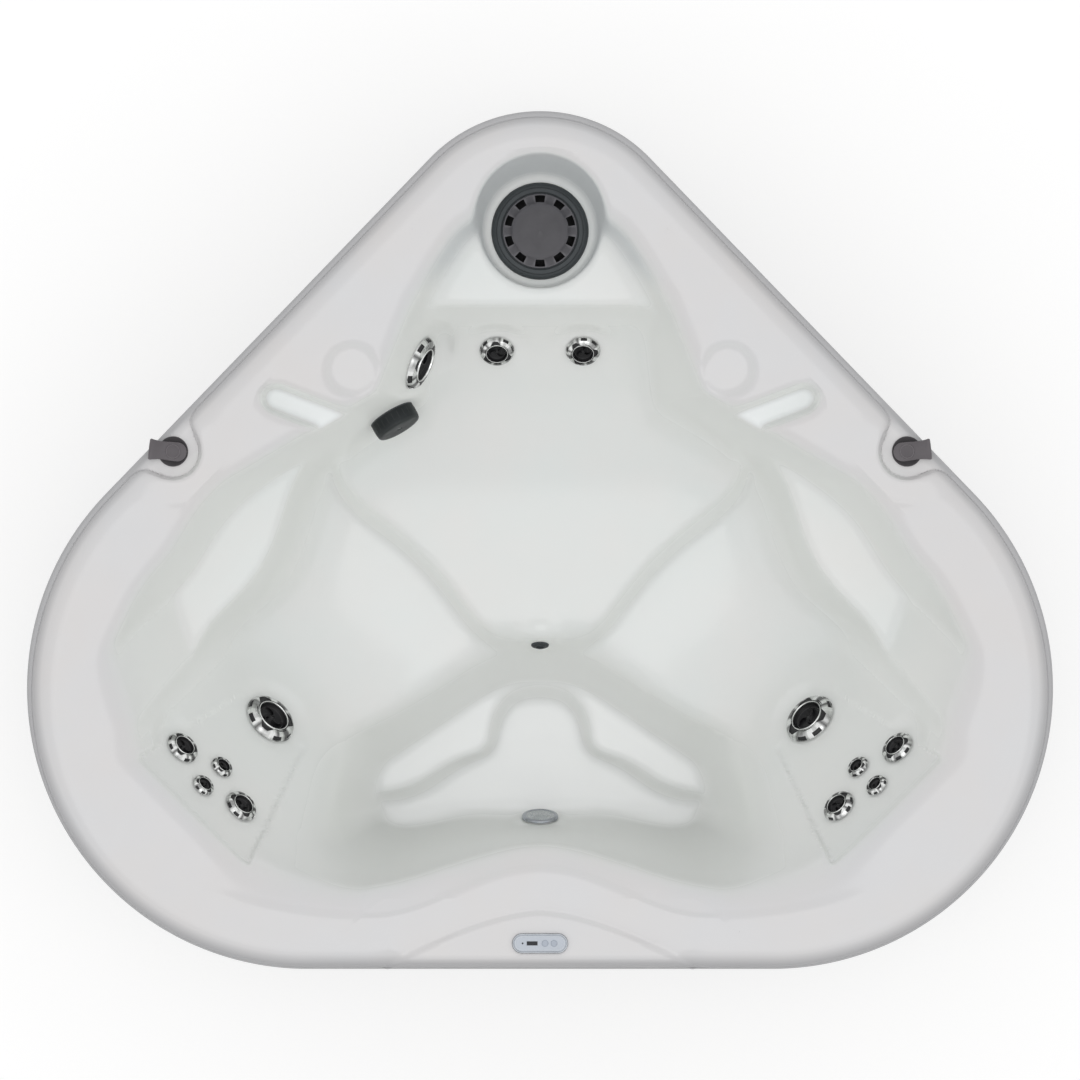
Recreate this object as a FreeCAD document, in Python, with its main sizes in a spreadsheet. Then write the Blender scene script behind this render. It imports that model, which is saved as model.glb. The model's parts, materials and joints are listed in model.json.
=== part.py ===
import FreeCAD, Part
import itertools
import math
import os
import re
import Sketcher

Vec = FreeCAD.Vector
UP = Vec(0, 0, 1)

# Corner hot tub. Millimetres, +Z up, origin on the floor under the middle of the plan.
# +Y points to the corner with the filter, -Y to the front with the control panel.
SIZES = (
    # plan and levels of the moulded shell
    ("overall_width", 1830), ("overall_depth", 1530), ("rim_height", 740),
    ("corner_radius", 500), ("apex_radius", 272), ("skin", 6),
    ("lip_height", 50), ("lip_round", 28),
    ("shelf_level", 650), ("armrest_level", 560), ("top_seat_level", 370),
    ("side_seat_level", 320), ("step_level", 150), ("floor_level", 90),
    # slopes of the walls, degrees from the floor
    ("jet_wall_slope", 72), ("suction_wall_slope", 78), ("armrest_slope", 74),
    ("armrest_end_slope", 50), ("inner_arm_slope", 78), ("backrest_slope", 51),
    ("front_side_slope", 58), ("front_slope", 88), ("front_turn_slope", 85.3), ("lobe_slope", 82.5),
    ("seat_step_slope", 63), ("riser_slope", 70), ("foot_side_slope", 80),
    ("bay_slope", 75), ("top_back_slope", 38), ("shelf_front_slope", 66),
    ("channel_side_slope", 75), ("channel_end_slope", 60), ("shelf_back_slope", 80),
    # wall places on a straight side: run back from its apex end, and in from the side
    ("jet_wall_run", 110.8), ("jet_wall_in", 113), ("jet_wall_end_run", 278.8), ("jet_wall_end_in", 182),
    ("suction_wall_run", 379.8), ("suction_wall_in", 218),
    ("suction_wall_end_run", 522.8), ("suction_wall_end_in", 178), ("shelf_side_in", 114),
    ("top_back_run", 254.1), ("top_back_in", 171.9), ("shelf_front_behind", 41),
    # wall places on a straight side: run from its middle, and in from the side
    ("armrest_run", -227), ("armrest_in", 150), ("armrest_end_run", -492), ("armrest_end_in", 158),
    ("inner_arm_run", -168), ("inner_arm_in", 225), ("inner_arm_end_run", -469),
    ("inner_arm_end_in", 298),
    # wall places round a front corner
    ("backrest_rim", 182), ("side_rim", 145), ("bend_rim", 152), ("bend_heading", 154),
    ("armrest_stop", 174), ("armrest_stop_heading", 199),
    # wall places behind the front edge
    ("front_side_rim", 140), ("front_middle_rim", 220), ("front_middle_half", 89),
    ("front_side_half", 285),
    ("riser_back", 590), ("arch_inner_half", 102), ("arch_inner_back", 558),
    ("arch_outer_half", 324), ("arch_outer_back", 407),
    ("seat_step_half", 123), ("foot_half", 306), ("foot_corner_half", 267), ("foot_corner_back", 229),
    ("foot_side_back", 273),
    ("bay_half", 77), ("flare_inner_half", 98), ("flare_inner_back", 385),
    ("flare_outer_half", 235), ("flare_outer_back", 289), ("toe_back", 277), ("toe_slope", 70),
    # wall places in front of the apex
    ("shelf_back_from_apex", 170),
    ("shelf_open_from_apex", 465), ("well_rim_from_apex", 190), ("filter_from_apex", 213),
    ("well_rim_radius", 116), ("well_floor_radius", 103), ("well_level", 610),
    # recesses in the rim: channel and cup run back from a side's apex end, air control from its corner end
    ("channel_run", 498.8), ("channel_in", 104), ("channel_heading", -21), ("channel_half", 22.5),
    ("channel_length", 120), ("channel_depth", 40),
    ("cup_run", 368.8), ("cup_in", 162), ("cup_radius", 48), ("cup_depth", 14),
    ("air_run", 137.8), ("air_in", 34), ("air_recess_radius", 55), ("air_recess_depth", 22),
    # cabinet, base and frame
    ("pan_inset", 5), ("pan_wall", 6), ("pan_floor", 10), ("pan_height", 70),
    ("panel_inset", 12), ("panel_thick", 8), ("panel_tuck", 34), ("panel_gap", 2),
    ("access_half", 380), ("side_panel_half", 380), ("board_height", 88), ("board_groove", 5),
    ("groove_depth", 2.5), ("frame_gap", 0.5), ("post_size", 38), ("rail_width", 24), ("rail_height", 40),
    ("rail_break", 70), ("post_from_end", 62), ("post_mid_run", 120), ("post_heading_side", 195),
    ("post_heading_front", 242), ("seat_post", 60),
    ("seat_post_half", 330), ("seat_post_back", 560), ("top_post_back", 720),
    ("support_half", 60), ("support_back", 300), ("support_length", 160),
    ("knob_radius", 11), ("knob_height", 5), ("knob_stem", 4), ("knob_margin", 34), ("fit", 0.4),
    ("turn_gap", 0.3),
    # filter
    ("canister_radius", 82), ("canister_wall", 4), ("canister_length", 350), ("canister_flange", 96),
    ("flange_thick", 3), ("outlet_radius", 25), ("outlet_length", 40), ("outlet_wall", 3),
    ("trim_radius", 87), ("trim_inner", 69), ("trim_height", 12), ("trim_edge", 5),
    ("basket_radius", 67), ("basket_rise", 16), ("basket_dome", 43), ("basket_depth", 70),
    ("basket_wall", 3),
    ("basket_slot_radius", 57), ("basket_slot", 10), ("basket_slot_count", 10),
    ("cartridge_radius", 63.5), ("cartridge_bore", 22), ("cartridge_length", 240),
    ("cartridge_pleats", 24),
    ("pleat_radius", 4), ("cartridge_rib", 5), ("cartridge_lap", 10),
    # air controls
    ("valve_radius", 13), ("valve_length", 80), ("valve_base", 27), ("valve_base_height", 5),
    ("lever_hub", 22), ("lever_height", 11), ("lever_length", 43), ("lever_half", 17), ("lever_drop", 3),
    # control panel
    ("panel_back", 46), ("pill_half", 50), ("pill_radius", 18), ("pill_rise", 5), ("pill_body", 13),
    ("pill_body_half", 40), ("pill_body_depth", 34), ("window_half", 10), ("window_depth", 4),
    ("window_left", 14), ("window_sink", 1.5), ("button_right", 9), ("button_step", 16),
    ("button_radius", 6), ("button_height", 5), ("button_proud", 1), ("button_travel", 1.5),
    # fittings in the walls
    ("fitting_flange", 2.5), ("suction_up", 150), ("suction_radius", 42), ("suction_dome", 44),
    ("suction_barrel", 26), ("suction_length", 70), ("suction_bore", 20), ("suction_slot", 6),
    ("suction_slot_count", 12), ("suction_along", 15), ("cover_top_share", 0.7),
    ("cover_side_share", 0.6),
    ("cover_slot_share", 0.8),
    ("light_radius", 33), ("light_barrel", 22), ("light_length", 48), ("light_lens_height", 6),
    ("light_up", 40), ("lens_edge_share", 0.4), ("lens_top_share", 0.7),
    ("return_radius", 16), ("return_barrel", 11), ("return_length", 45), ("return_bore", 7),
    ("return_down", 36),
    ("drain_half", 300), ("drain_height", 38), ("drain_radius", 15), ("drain_bore", 11),
    ("drain_length", 60),
    ("drain_cap_radius", 20), ("drain_cap_thick", 4),
    # jets: face, hole and depth of each size
    ("large_face", 49), ("large_barrel", 27), ("large_nozzle", 24), ("large_length", 78),
    ("large_height", 12),
    ("medium_face", 31), ("medium_barrel", 18), ("medium_nozzle", 15), ("medium_length", 60),
    ("medium_height", 9),
    ("small_face", 21), ("small_barrel", 11.5), ("small_nozzle", 8.5), ("small_length", 46),
    ("small_height", 7),
    ("tube_wall", 2.5), ("nut_depth", 12), ("nut_width", 9), ("notch_share", 0.2),
    ("notch_reach", 1.13), ("notch_count", 6),
    ("port_share", 0.3), ("port_reach", 0.5), ("port_count", 2),
    ("edge_share", 0.5), ("crown_share", 0.8), ("dish_share", 0.6), ("core_share", 0.4),
    # jet places: along the backrest and in from its rim edge, then on the upper seat
    ("jets_along", -9), ("large_run", 228), ("medium_run", 83), ("medium_spread", 74),
    ("small_upper_run", 62), ("small_lower_run", 108),
    ("top_jet_half", 77), ("top_jet_ahead", 40), ("wall_jet_up", 210), ("wall_jet_gap", 5.4),
    # equipment under the seats
    ("pump_back", 945), ("pump_height", 105), ("motor_radius", 80), ("motor_length", 250),
    ("wet_radius", 90),
    ("wet_length", 85), ("pump_foot_half", 60), ("pipe_radius", 24), ("pipe_wall", 3), ("pipe_bend", 70),
    ("heater_back", 95), ("heater_radius", 32), ("heater_length", 420), ("union_radius", 40),
    ("union_half", 110), ("union_width", 40), ("box_half", 160), ("box_depth", 120), ("box_height", 250),
    ("pipe_side_half", 560), ("pipe_high", 278), ("pipe_front_half", 440), ("pipe_turn_back", 300),
    ("pipe_rear_back", 860), ("pipe_reach", 110),
)

doc = FreeCAD.newDocument("corner_hot_tub")
sheet = doc.addObject("Spreadsheet::Sheet", "Sizes")
for row, (alias, number) in enumerate(SIZES, start=1):
    sheet.set("A%d" % row, alias)
    sheet.set("B%d" % row, str(number))
    sheet.setAlias("B%d" % row, alias)
doc.recompute()
nodes = []


def size(name):
    return float(sheet.get(name))


def turn(heading):
    angle = math.radians(heading)
    return Vec(math.cos(angle), math.sin(angle), 0)


def mirrored(point):
    return Vec(-point.x, point.y, point.z)


# Plan of the rim: two corner arcs and an apex arc joined by straight tangents.
width, depth = size("overall_width"), size("overall_depth")
front_y, apex_y = -depth / 2, depth / 2
corner_r, apex_r = size("corner_radius"), size("apex_radius")
corner = Vec(corner_r - width / 2, front_y + corner_r, 0)
apex = Vec(0, apex_y - apex_r, 0)
span = Vec(-corner.x, corner.y - apex.y, 0)
side_angle = math.atan2(span.y, span.x) + math.acos((apex_r - corner_r) / span.Length)
side_out = Vec(-math.cos(side_angle), math.sin(side_angle), 0)
side_in = -side_out
side_start = corner + side_out * corner_r
side_end = apex + side_out * apex_r
side_mid = (side_start + side_end) / 2
side_dir = (side_end - side_start).normalize()
rim, skin = size("rim_height"), size("skin")


def on_side(run, inset):
    return side_mid + side_dir * run + side_in * inset


def named_on_side(name):
    return on_side(size(name + "_run"), size(name + "_in"))


def named_near_apex(name):
    return side_end - side_dir * size(name + "_run") + side_in * size(name + "_in")


def named_near_corner(name):
    return side_start + side_dir * size(name + "_run") + side_in * size(name + "_in")


def behind_front(half, back):
    return Vec(-half, front_y + back, 0)


def outline(inset, level):
    lift = Vec(0, 0, level)
    big, small = corner_r - inset, apex_r - inset

    def spot(centre, heading, radius):
        return centre + turn(heading) * radius + lift

    heading = math.degrees(side_angle)
    right = mirrored(corner)
    stops = [
        (right, -90, heading, big),
        (apex, heading, 180 - heading, small),
        (corner, 180 - heading, 270, big),
    ]
    edges = []
    last = spot(corner, 270, big)
    for centre, first, second, radius in stops:
        begin = spot(centre, first, radius)
        edges.append(Part.makeLine(last, begin))
        last = spot(centre, second, radius)
        edges.append(Part.Arc(begin, spot(centre, (first + second) / 2, radius), last).toShape())
    return Part.Wire(edges)


def slab(inset, low, high):
    return Part.Face(outline(inset, low)).extrude(UP * (high - low))


# A wall is a plane: its outward direction in 3-D and its distance from the origin.
def wall(point, outward, slope, level):
    lean = math.radians(slope)
    normal = outward * math.sin(lean) - UP * math.cos(lean)
    return normal, normal.dot(Vec(point.x, point.y, level))


def wall_through(first, second, slope, level):
    along = (second - first).normalize()
    return wall(first, Vec(along.y, -along.x, 0), slope, level)


def upright(point, outward):
    return outward, outward.dot(point)


def flip(plane):
    return mirrored(plane[0]), plane[1]


def solve(planes):
    (a, p), (b, q), (c, r) = planes
    det = a.dot(b.cross(c))
    if abs(det) < 1e-9:
        return None
    return (b.cross(c) * p + c.cross(a) * q + a.cross(b) * r) / det


def convex_solid(planes):
    points = []
    for three in itertools.combinations(planes, 3):
        spot = solve(three)
        if spot is None or any(n.dot(spot) > d + 1e-6 for n, d in planes):
            continue
        if all(spot.distanceToPoint(other) > 1e-5 for other in points):
            points.append(spot)
    faces = []
    for normal, reach in planes:
        ring = [p for p in points if abs(normal.dot(p) - reach) < 1e-5]
        if len(ring) < 3:
            continue
        middle = sum(ring, Vec()) / len(ring)
        side = (ring[0] - middle).normalize()
        other = normal.cross(side)
        ring.sort(key=lambda p: math.atan2((p - middle).dot(other), (p - middle).dot(side)))
        faces.append(Part.Face(Part.makePolygon(ring + ring[:1])))
    shell = Part.Shell(faces)
    shell.sewShape()
    return Part.Solid(shell)


def basin(walls, level, grow):
    top = rim if grow else rim + skin
    planes = [(n, d + grow) for n, d in walls] + [(-UP, grow - level), (UP, top)]
    return convex_solid(planes)


def side_wall(place, name, slope, level):
    return wall_through(place(name), place(name + "_end"), size(slope), level)


def corner_wall(heading, width_name, slope):
    outward = turn(heading)
    return wall(corner + outward * (corner_r - size(width_name)), outward, size(slope), rim)


def front_wall(back_name, slope, level):
    return wall(behind_front(0, size(back_name)), -BACK, size(slope), level)


def back_wall(back_name, slope, level):
    return wall(behind_front(0, size(back_name)), BACK, size(slope), level)


def front_pair(first, second, slope, level):
    spots = [behind_front(size(half), size(back)) for half, back in (first, second)]
    return wall_through(spots[0], spots[1], size(slope), level)


def from_apex(name):
    return Vec(0, apex_y - size(name), 0)


BACK, LEFT = Vec(0, 1, 0), Vec(-1, 0, 0)
FLANK_HEADING, CORNER_HEADING = 180, 225
shelf_z, arm_z = size("shelf_level"), size("armrest_level")
top_z, seat_z = size("top_seat_level"), size("side_seat_level")
step_z, floor_z = size("step_level"), size("floor_level")

# Walls of the left half; the right half mirrors them.
jet_wall = side_wall(named_near_apex, "jet_wall", "jet_wall_slope", rim)
suction_wall = side_wall(named_near_apex, "suction_wall", "suction_wall_slope", rim)
armrest_wall = side_wall(named_on_side, "armrest", "armrest_slope", rim)
inner_arm = side_wall(named_on_side, "inner_arm", "inner_arm_slope", arm_z)
bend_wall = corner_wall(size("bend_heading"), "bend_rim", "armrest_slope")
flank_wall = corner_wall(FLANK_HEADING, "side_rim", "armrest_slope")
backrest = corner_wall(CORNER_HEADING, "backrest_rim", "backrest_slope")
stop_out = turn(size("armrest_stop_heading"))
armrest_stop = wall(corner + stop_out * size("armrest_stop"), stop_out, size("armrest_end_slope"), arm_z)
shelf_side = wall(on_side(0, size("shelf_side_in")), side_out, size("jet_wall_slope"), rim)
shelf_back = wall(from_apex("shelf_back_from_apex"), BACK, size("shelf_back_slope"), rim)
slope_top = Vec(0, named_near_apex("top_back").y, 0)
shelf_front = wall(slope_top + BACK * size("shelf_front_behind"), BACK, size("shelf_front_slope"), shelf_z)
top_back = wall(slope_top, BACK, size("top_back_slope"), arm_z)
step_foot = behind_front(size("seat_step_half"), size("riser_back"))
seat_step = wall(step_foot, side_dir, size("seat_step_slope"), seat_z)
step_run = (top_z - seat_z) / math.tan(math.radians(size("seat_step_slope")))
top_limit = upright(step_foot + side_dir * step_run, -side_dir)
front_side = front_wall("front_side_rim", "front_side_slope", rim)
front_middle = front_wall("front_middle_rim", "front_slope", rim)
front_lobe = front_wall("front_side_rim", "lobe_slope", rim)
front_turn = front_pair(("front_side_half", "front_side_rim"), ("front_middle_half", "front_middle_rim"),
                        "front_turn_slope", rim)
riser = back_wall("riser_back", "riser_slope", top_z)
arch = front_pair(("arch_inner_half", "arch_inner_back"), ("arch_outer_half", "arch_outer_back"),
                  "riser_slope", seat_z)
foot_side = wall(behind_front(size("foot_half"), 0), LEFT, size("foot_side_slope"), step_z)
foot_corner = front_pair(("foot_half", "foot_side_back"), ("foot_corner_half", "foot_corner_back"),
                         "foot_side_slope", floor_z)
bay_side = wall(behind_front(size("bay_half"), 0), LEFT, size("bay_slope"), floor_z)
flare = front_pair(("flare_inner_half", "flare_inner_back"), ("flare_outer_half", "flare_outer_back"),
                   "riser_slope", floor_z)
step_front = back_wall("flare_outer_back", "riser_slope", floor_z)
toe = front_wall("toe_back", "toe_slope", floor_z)
middle_limit = upright(Vec(), -LEFT)
bay_limit = upright(behind_front(0, size("flare_inner_back")), BACK)
seat_limit = upright(behind_front(0, size("riser_back")), -BACK)
tip_limit = upright(behind_front(size("arch_inner_half"), 0), -LEFT)
shelf_limit = upright(from_apex("shelf_open_from_apex"), -BACK)
arm_end = upright(named_near_apex("suction_wall"), side_dir)
arm_limit = upright(named_on_side("inner_arm") + side_in * size("channel_length"), side_in)

channel_dir = turn(size("channel_heading"))
channel_side = Vec(-channel_dir.y, channel_dir.x, 0)
channel_start = named_near_apex("channel")
channel = [
    wall(channel_start + channel_side * size("channel_half"), channel_side, size("channel_side_slope"), rim),
    wall(channel_start - channel_side * size("channel_half"), -channel_side, size("channel_side_slope"), rim),
    wall(channel_start - channel_dir * size("channel_half"), -channel_dir, size("channel_end_slope"), rim),
    upright(channel_start + channel_dir * size("channel_length"), channel_dir),
]


def both(planes):
    return planes + [flip(plane) for plane in planes]


MIDDLE_BASINS = (
    (both([jet_wall, shelf_side]) + [shelf_back, shelf_limit], shelf_z),
    (both([jet_wall, top_limit]) + [shelf_front, top_back, seat_limit], top_z),
    (both([arch, foot_side]) + [riser, front_middle, toe], step_z),
    (both([bay_side]) + [riser, front_middle, toe], floor_z),
    (both([flare, foot_side]) + [bay_limit, front_middle, toe], floor_z),
)
SIDE_BASINS = (
    ([suction_wall, inner_arm, top_limit, top_back, seat_limit, tip_limit], top_z),
    ([suction_wall, inner_arm, backrest, front_side, front_turn, middle_limit, seat_step], seat_z),
    ([suction_wall, armrest_wall, bend_wall, flank_wall, armrest_stop, arm_limit, arm_end], arm_z),
    ([step_front, foot_side, foot_corner, front_lobe, front_turn, middle_limit], floor_z),
    (channel, rim - size("channel_depth")),
)


def basins(grow):
    shapes = [basin(walls, level, grow) for walls, level in MIDDLE_BASINS]
    for walls, level in SIDE_BASINS:
        shapes.append(basin(walls, level, grow))
        shapes.append(basin([flip(plane) for plane in walls], level, grow))
    return shapes


def disc(centre, radius, low, high):
    return Part.makeCylinder(radius, high - low, Vec(centre.x, centre.y, low))


def both_sides(point):
    return (point, mirrored(point))


filter_spot = from_apex("filter_from_apex")
well_spot = from_apex("well_rim_from_apex")
well_z = size("well_level")
air_spot, cup_spot = named_near_corner("air"), named_near_apex("cup")
air_z = rim - size("air_recess_depth")


def ring_wire(centre, radius, level):
    return Part.Wire(Part.makeCircle(radius, Vec(centre.x, centre.y, level)))


def recesses(grow):
    top = rim if grow else rim + skin
    well = Part.makeLoft([ring_wire(filter_spot, size("well_floor_radius") + grow, well_z - grow),
                          ring_wire(well_spot, size("well_rim_radius") + grow, top)], True, True)
    shapes = [well]
    for spot in both_sides(cup_spot):
        shapes.append(disc(spot, size("cup_radius") + grow, rim - size("cup_depth") - grow, top))
    for spot in both_sides(air_spot):
        shapes.append(disc(spot, size("air_recess_radius") + grow, air_z - grow, top))
    return shapes


def rounded_slab(inset, low, high):
    shape = slab(inset, low, high)
    top = [e for e in shape.Edges if e.BoundBox.ZMin > high - skin / 2]
    return shape.makeFillet(size("lip_round") - inset, top)


# Points and directions of the wall fittings, set out on the walls they stand on.
def on_wall(plane, spot, level):
    normal, reach = plane
    flat = Vec(normal.x, normal.y, 0)
    shift = (reach - normal.dot(Vec(spot.x, spot.y, level))) / flat.dot(flat)
    return Vec(spot.x, spot.y, level) + flat * shift


def drop(plane, spot):
    normal, reach = plane
    level = (reach - normal.x * spot.x - normal.y * spot.y) / normal.z
    return Vec(spot.x, spot.y, level)


def backrest_spot(along, run):
    outward, across = turn(CORNER_HEADING), turn(CORNER_HEADING + 90)
    return drop(backrest, corner + outward * (corner_r - size("backrest_rim") - run) + across * along)


along = size("jets_along")
left_jets = [
    ("large", "lower", backrest_spot(along, size("large_run"))),
    ("medium", "outer", backrest_spot(along - size("medium_spread"), size("medium_run"))),
    ("medium", "inner", backrest_spot(along + size("medium_spread"), size("medium_run"))),
    ("small", "upper", backrest_spot(along, size("small_upper_run"))),
    ("small", "lower", backrest_spot(along, size("small_lower_run"))),
]
JETS = []
for kind, place, spot in left_jets:
    JETS.append((kind, "%s_%s_left" % (kind, place), spot, -backrest[0]))
    JETS.append((kind, "%s_%s_right" % (kind, place), mirrored(spot), -mirrored(backrest[0])))
for label, side in (("left", -1), ("right", 1)):
    spot = slope_top - BACK * size("top_jet_ahead") - LEFT * (side * size("top_jet_half"))
    JETS.append(("medium", "medium_top_" + label, drop(top_back, spot), -top_back[0]))
clear_of_slope = top_back[1] - size("large_face") - size("wall_jet_gap")
wall_jet_spot = solve([jet_wall, (top_back[0], clear_of_slope), (UP, top_z + size("wall_jet_up"))])
JETS.append(("large", "large_top_left", wall_jet_spot, -jet_wall[0]))
suction_dir = (named_near_apex("suction_wall") - named_near_apex("suction_wall_end")).normalize()
suction_spot = on_wall(suction_wall, named_near_apex("suction_wall") + suction_dir * size("suction_along"),
                       top_z + size("suction_up"))
suction_axis = -suction_wall[0]
light_spot = on_wall(toe, behind_front(0, size("toe_back")), floor_z + size("light_up"))
light_axis = -toe[0]
return_spot = on_wall(riser, behind_front(0, size("riser_back")), top_z - size("return_down"))
return_axis = -riser[0]


def bore(spot, axis, radius, reach):
    return Part.makeCylinder(radius, 2 * reach, spot - axis * reach, axis)


HOLE_REACH, OVER = 4 * skin, 2 * skin


def tub_shell():
    low = rim - size("lip_height")
    body = rounded_slab(0, low, rim).cut(rounded_slab(skin, low, rim - skin))
    bounds = slab(0, 0, rim)
    body = body.fuse(basins(skin) + [shape.common(bounds) for shape in recesses(skin)])
    body = body.cut(basins(0) + recesses(0))
    fit = size("fit")
    holes = [disc(filter_spot, size("canister_radius") + fit, well_z - OVER, well_z + skin)]
    for spot in both_sides(air_spot):
        holes.append(disc(spot, size("valve_radius") + fit, air_z - OVER, air_z + skin))
    for kind, label, spot, axis in JETS:
        holes.append(bore(spot, axis, size(kind + "_barrel") + fit, HOLE_REACH))
    holes.append(bore(suction_spot, suction_axis, size("suction_barrel") + fit, HOLE_REACH))
    holes.append(bore(light_spot, light_axis, size("light_barrel") + fit, HOLE_REACH))
    holes.append(bore(return_spot, return_axis, size("return_barrel") + fit, HOLE_REACH))
    holes.append(pill(size("pill_body_half") + fit, size("pill_body") + fit, rim - OVER, rim + skin))
    return body.cut(holes).removeSplitter()


def pill(half, radius, low, high):
    centre = behind_front(0, size("panel_back"))
    flat = half - radius
    shape = Part.makeBox(2 * flat, 2 * radius, high - low, centre + Vec(-flat, -radius, low))
    for side in (-1, 1):
        shape = shape.fuse(disc(centre + Vec(side * flat, 0, 0), radius, low, high))
    return shape.removeSplitter()


def add_shape(label, shape):
    made = doc.addObject("Part::Feature", label)
    made.Label = label
    made.Shape = shape
    nodes.append(made)
    return made


def bound(expression):
    return re.sub("[a-z_]+", lambda word: "Sizes." + word.group(0), expression)


def number(expression):
    return float(sheet.evalExpression(bound(expression)))


def fix(sketch, kind, geometry, corner_index, expression):
    axis = {"DistanceX": -2, "DistanceY": -1}[kind]
    if expression == "0":
        sketch.addConstraint(Sketcher.Constraint("PointOnObject", geometry, corner_index, axis))
        return
    index = sketch.addConstraint(Sketcher.Constraint(kind, geometry, corner_index, number(expression)))
    sketch.setExpression("Constraints[%d]" % index, bound(expression))


def new_sketch(body, plane_role, name):
    sketch = body.newObject("Sketcher::SketchObject", name)
    plane = [item for item in body.Origin.OriginFeatures if item.Role == plane_role][0]
    sketch.AttachmentSupport = (plane, [""])
    sketch.MapMode = "FlatFace"
    return sketch


def placed(spot, axis):
    return FreeCAD.Placement(spot, FreeCAD.Rotation(UP, axis))


def turned(label, profile, spot=Vec(), axis=UP, keep=True):
    """A body of revolution: profile is (radius, height) expressions in its own frame."""
    body = doc.addObject("PartDesign::Body", label)
    body.Label = label
    sketch = new_sketch(body, "XZ_Plane", label + "_profile")
    corners = [Vec(number(radius), number(height), 0) for radius, height in profile]
    count = len(corners)
    for index in range(count):
        sketch.addGeometry(Part.LineSegment(corners[index], corners[(index + 1) % count]), False)
    for index in range(count):
        sketch.addConstraint(Sketcher.Constraint("Coincident", index, 2, (index + 1) % count, 1))
    for index, (radius, height) in enumerate(profile):
        fix(sketch, "DistanceX", index, 1, radius)
        fix(sketch, "DistanceY", index, 1, height)
    revolve = body.newObject("PartDesign::Revolution", label + "_turn")
    revolve.Profile = sketch
    revolve.ReferenceAxis = (sketch, ["V_Axis"])
    revolve.Angle = 360
    sketch.Visibility = False
    body.Placement = placed(spot, axis)
    if keep:
        nodes.append(body)
    return body


def notch(body, reach, radius, count):
    """Cuts a ring of round notches or holes through a turned body."""
    doc.recompute()
    sketch = new_sketch(body, "XY_Plane", body.Label + "_notch")
    centre = Vec(number(reach), 0, 0)
    sketch.addGeometry(Part.Circle(centre, UP, number(radius)), False)
    fix(sketch, "DistanceX", 0, 3, reach)
    fix(sketch, "DistanceY", 0, 3, "0")
    index = sketch.addConstraint(Sketcher.Constraint("Radius", 0, number(radius)))
    sketch.setExpression("Constraints[%d]" % index, bound(radius))
    pocket = body.newObject("PartDesign::Pocket", body.Label + "_cut")
    pocket.Profile = sketch
    pocket.Type = "ThroughAll"
    pocket.Midplane = True
    pattern = body.newObject("PartDesign::PolarPattern", body.Label + "_ring")
    pattern.Originals = [pocket]
    pattern.Axis = (sketch, ["N_Axis"])
    pattern.Angle = 360
    body.Tip = pattern
    pattern.setExpression("Occurrences", bound(count))
    sketch.Visibility = False


def group(label, base, places):
    doc.recompute()
    shape = base.Shape.copy()
    shape.Placement = FreeCAD.Placement()
    copies = []
    for spot, axis in places:
        copy = shape.copy()
        copy.Placement = placed(spot, axis)
        copies.append(copy)
    return add_shape(label, Part.makeCompound(copies))


def bound_box(label, lengths, spot, keep=True):
    """A block; lengths are expressions along X, Y and Z, spot is its low corner."""
    block = doc.addObject("Part::Box", label)
    block.Label = label
    for name, expression in zip(("Length", "Width", "Height"), lengths):
        block.setExpression(name, bound(expression))
    block.Placement.Base = spot
    if keep:
        nodes.append(block)
    return block


# Shell, base pan and cabinet.
add_shape("tub_shell", tub_shell())
pan_top, pan_floor = size("pan_height"), size("pan_floor")
pan_face = behind_front(0, size("pan_inset"))
drain_spot = pan_face + Vec(size("drain_half"), 0, size("drain_height"))
pan = slab(size("pan_inset"), 0, pan_top)
pan = pan.cut(slab(size("pan_inset") + size("pan_wall"), pan_floor, pan_top + skin))
pan = pan.cut(bore(drain_spot, -BACK, size("drain_radius") + size("fit"), 2 * size("pan_wall")))
add_shape("base_pan", pan)

panel_in = size("panel_inset")
panel_inner = panel_in + size("panel_thick")
panel_top = rim - size("panel_tuck")
cabinet = slab(panel_in, pan_floor, panel_top).cut(slab(panel_inner, 0, rim))
grooves = []
level = pan_top + size("panel_gap") + size("board_height")
while level + size("board_groove") < rim - size("lip_height"):
    groove = slab(0, level, level + size("board_groove"))
    grooves.append(groove.cut(slab(panel_in + size("groove_depth"), level - skin, level + rim)))
    level += size("board_height")
cabinet = cabinet.cut(grooves)
gap = size("panel_gap")


def side_block(half, inner):
    block = Part.makeBox(2 * half, inner, rim, Vec(-half, -inner, 0))
    turned_by = FreeCAD.Rotation(Vec(1, 0, 0), side_dir)
    block.Placement = FreeCAD.Placement(side_mid, turned_by)
    return block


def front_block(half, low, high):
    return Part.makeBox(2 * half, 2 * panel_inner, high - low, behind_front(half, 0) + UP * low)


panel_reach = 2 * panel_inner
left_panel = cabinet.common(side_block(size("side_panel_half"), panel_reach))
add_shape("side_panel_left", left_panel)
add_shape("side_panel_right", left_panel.mirror(Vec(), LEFT))
left_opening = side_block(size("side_panel_half") + gap, panel_reach)
openings = [left_opening, left_opening.mirror(Vec(), LEFT),
            front_block(size("access_half") + gap, 0, rim)]
rest = sorted(cabinet.cut(openings).Solids, key=lambda solid: solid.CenterOfMass.x)
for label, solid in zip(("corner_panel_left", "apex_panel", "corner_panel_right"), rest):
    add_shape(label, solid)

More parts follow.
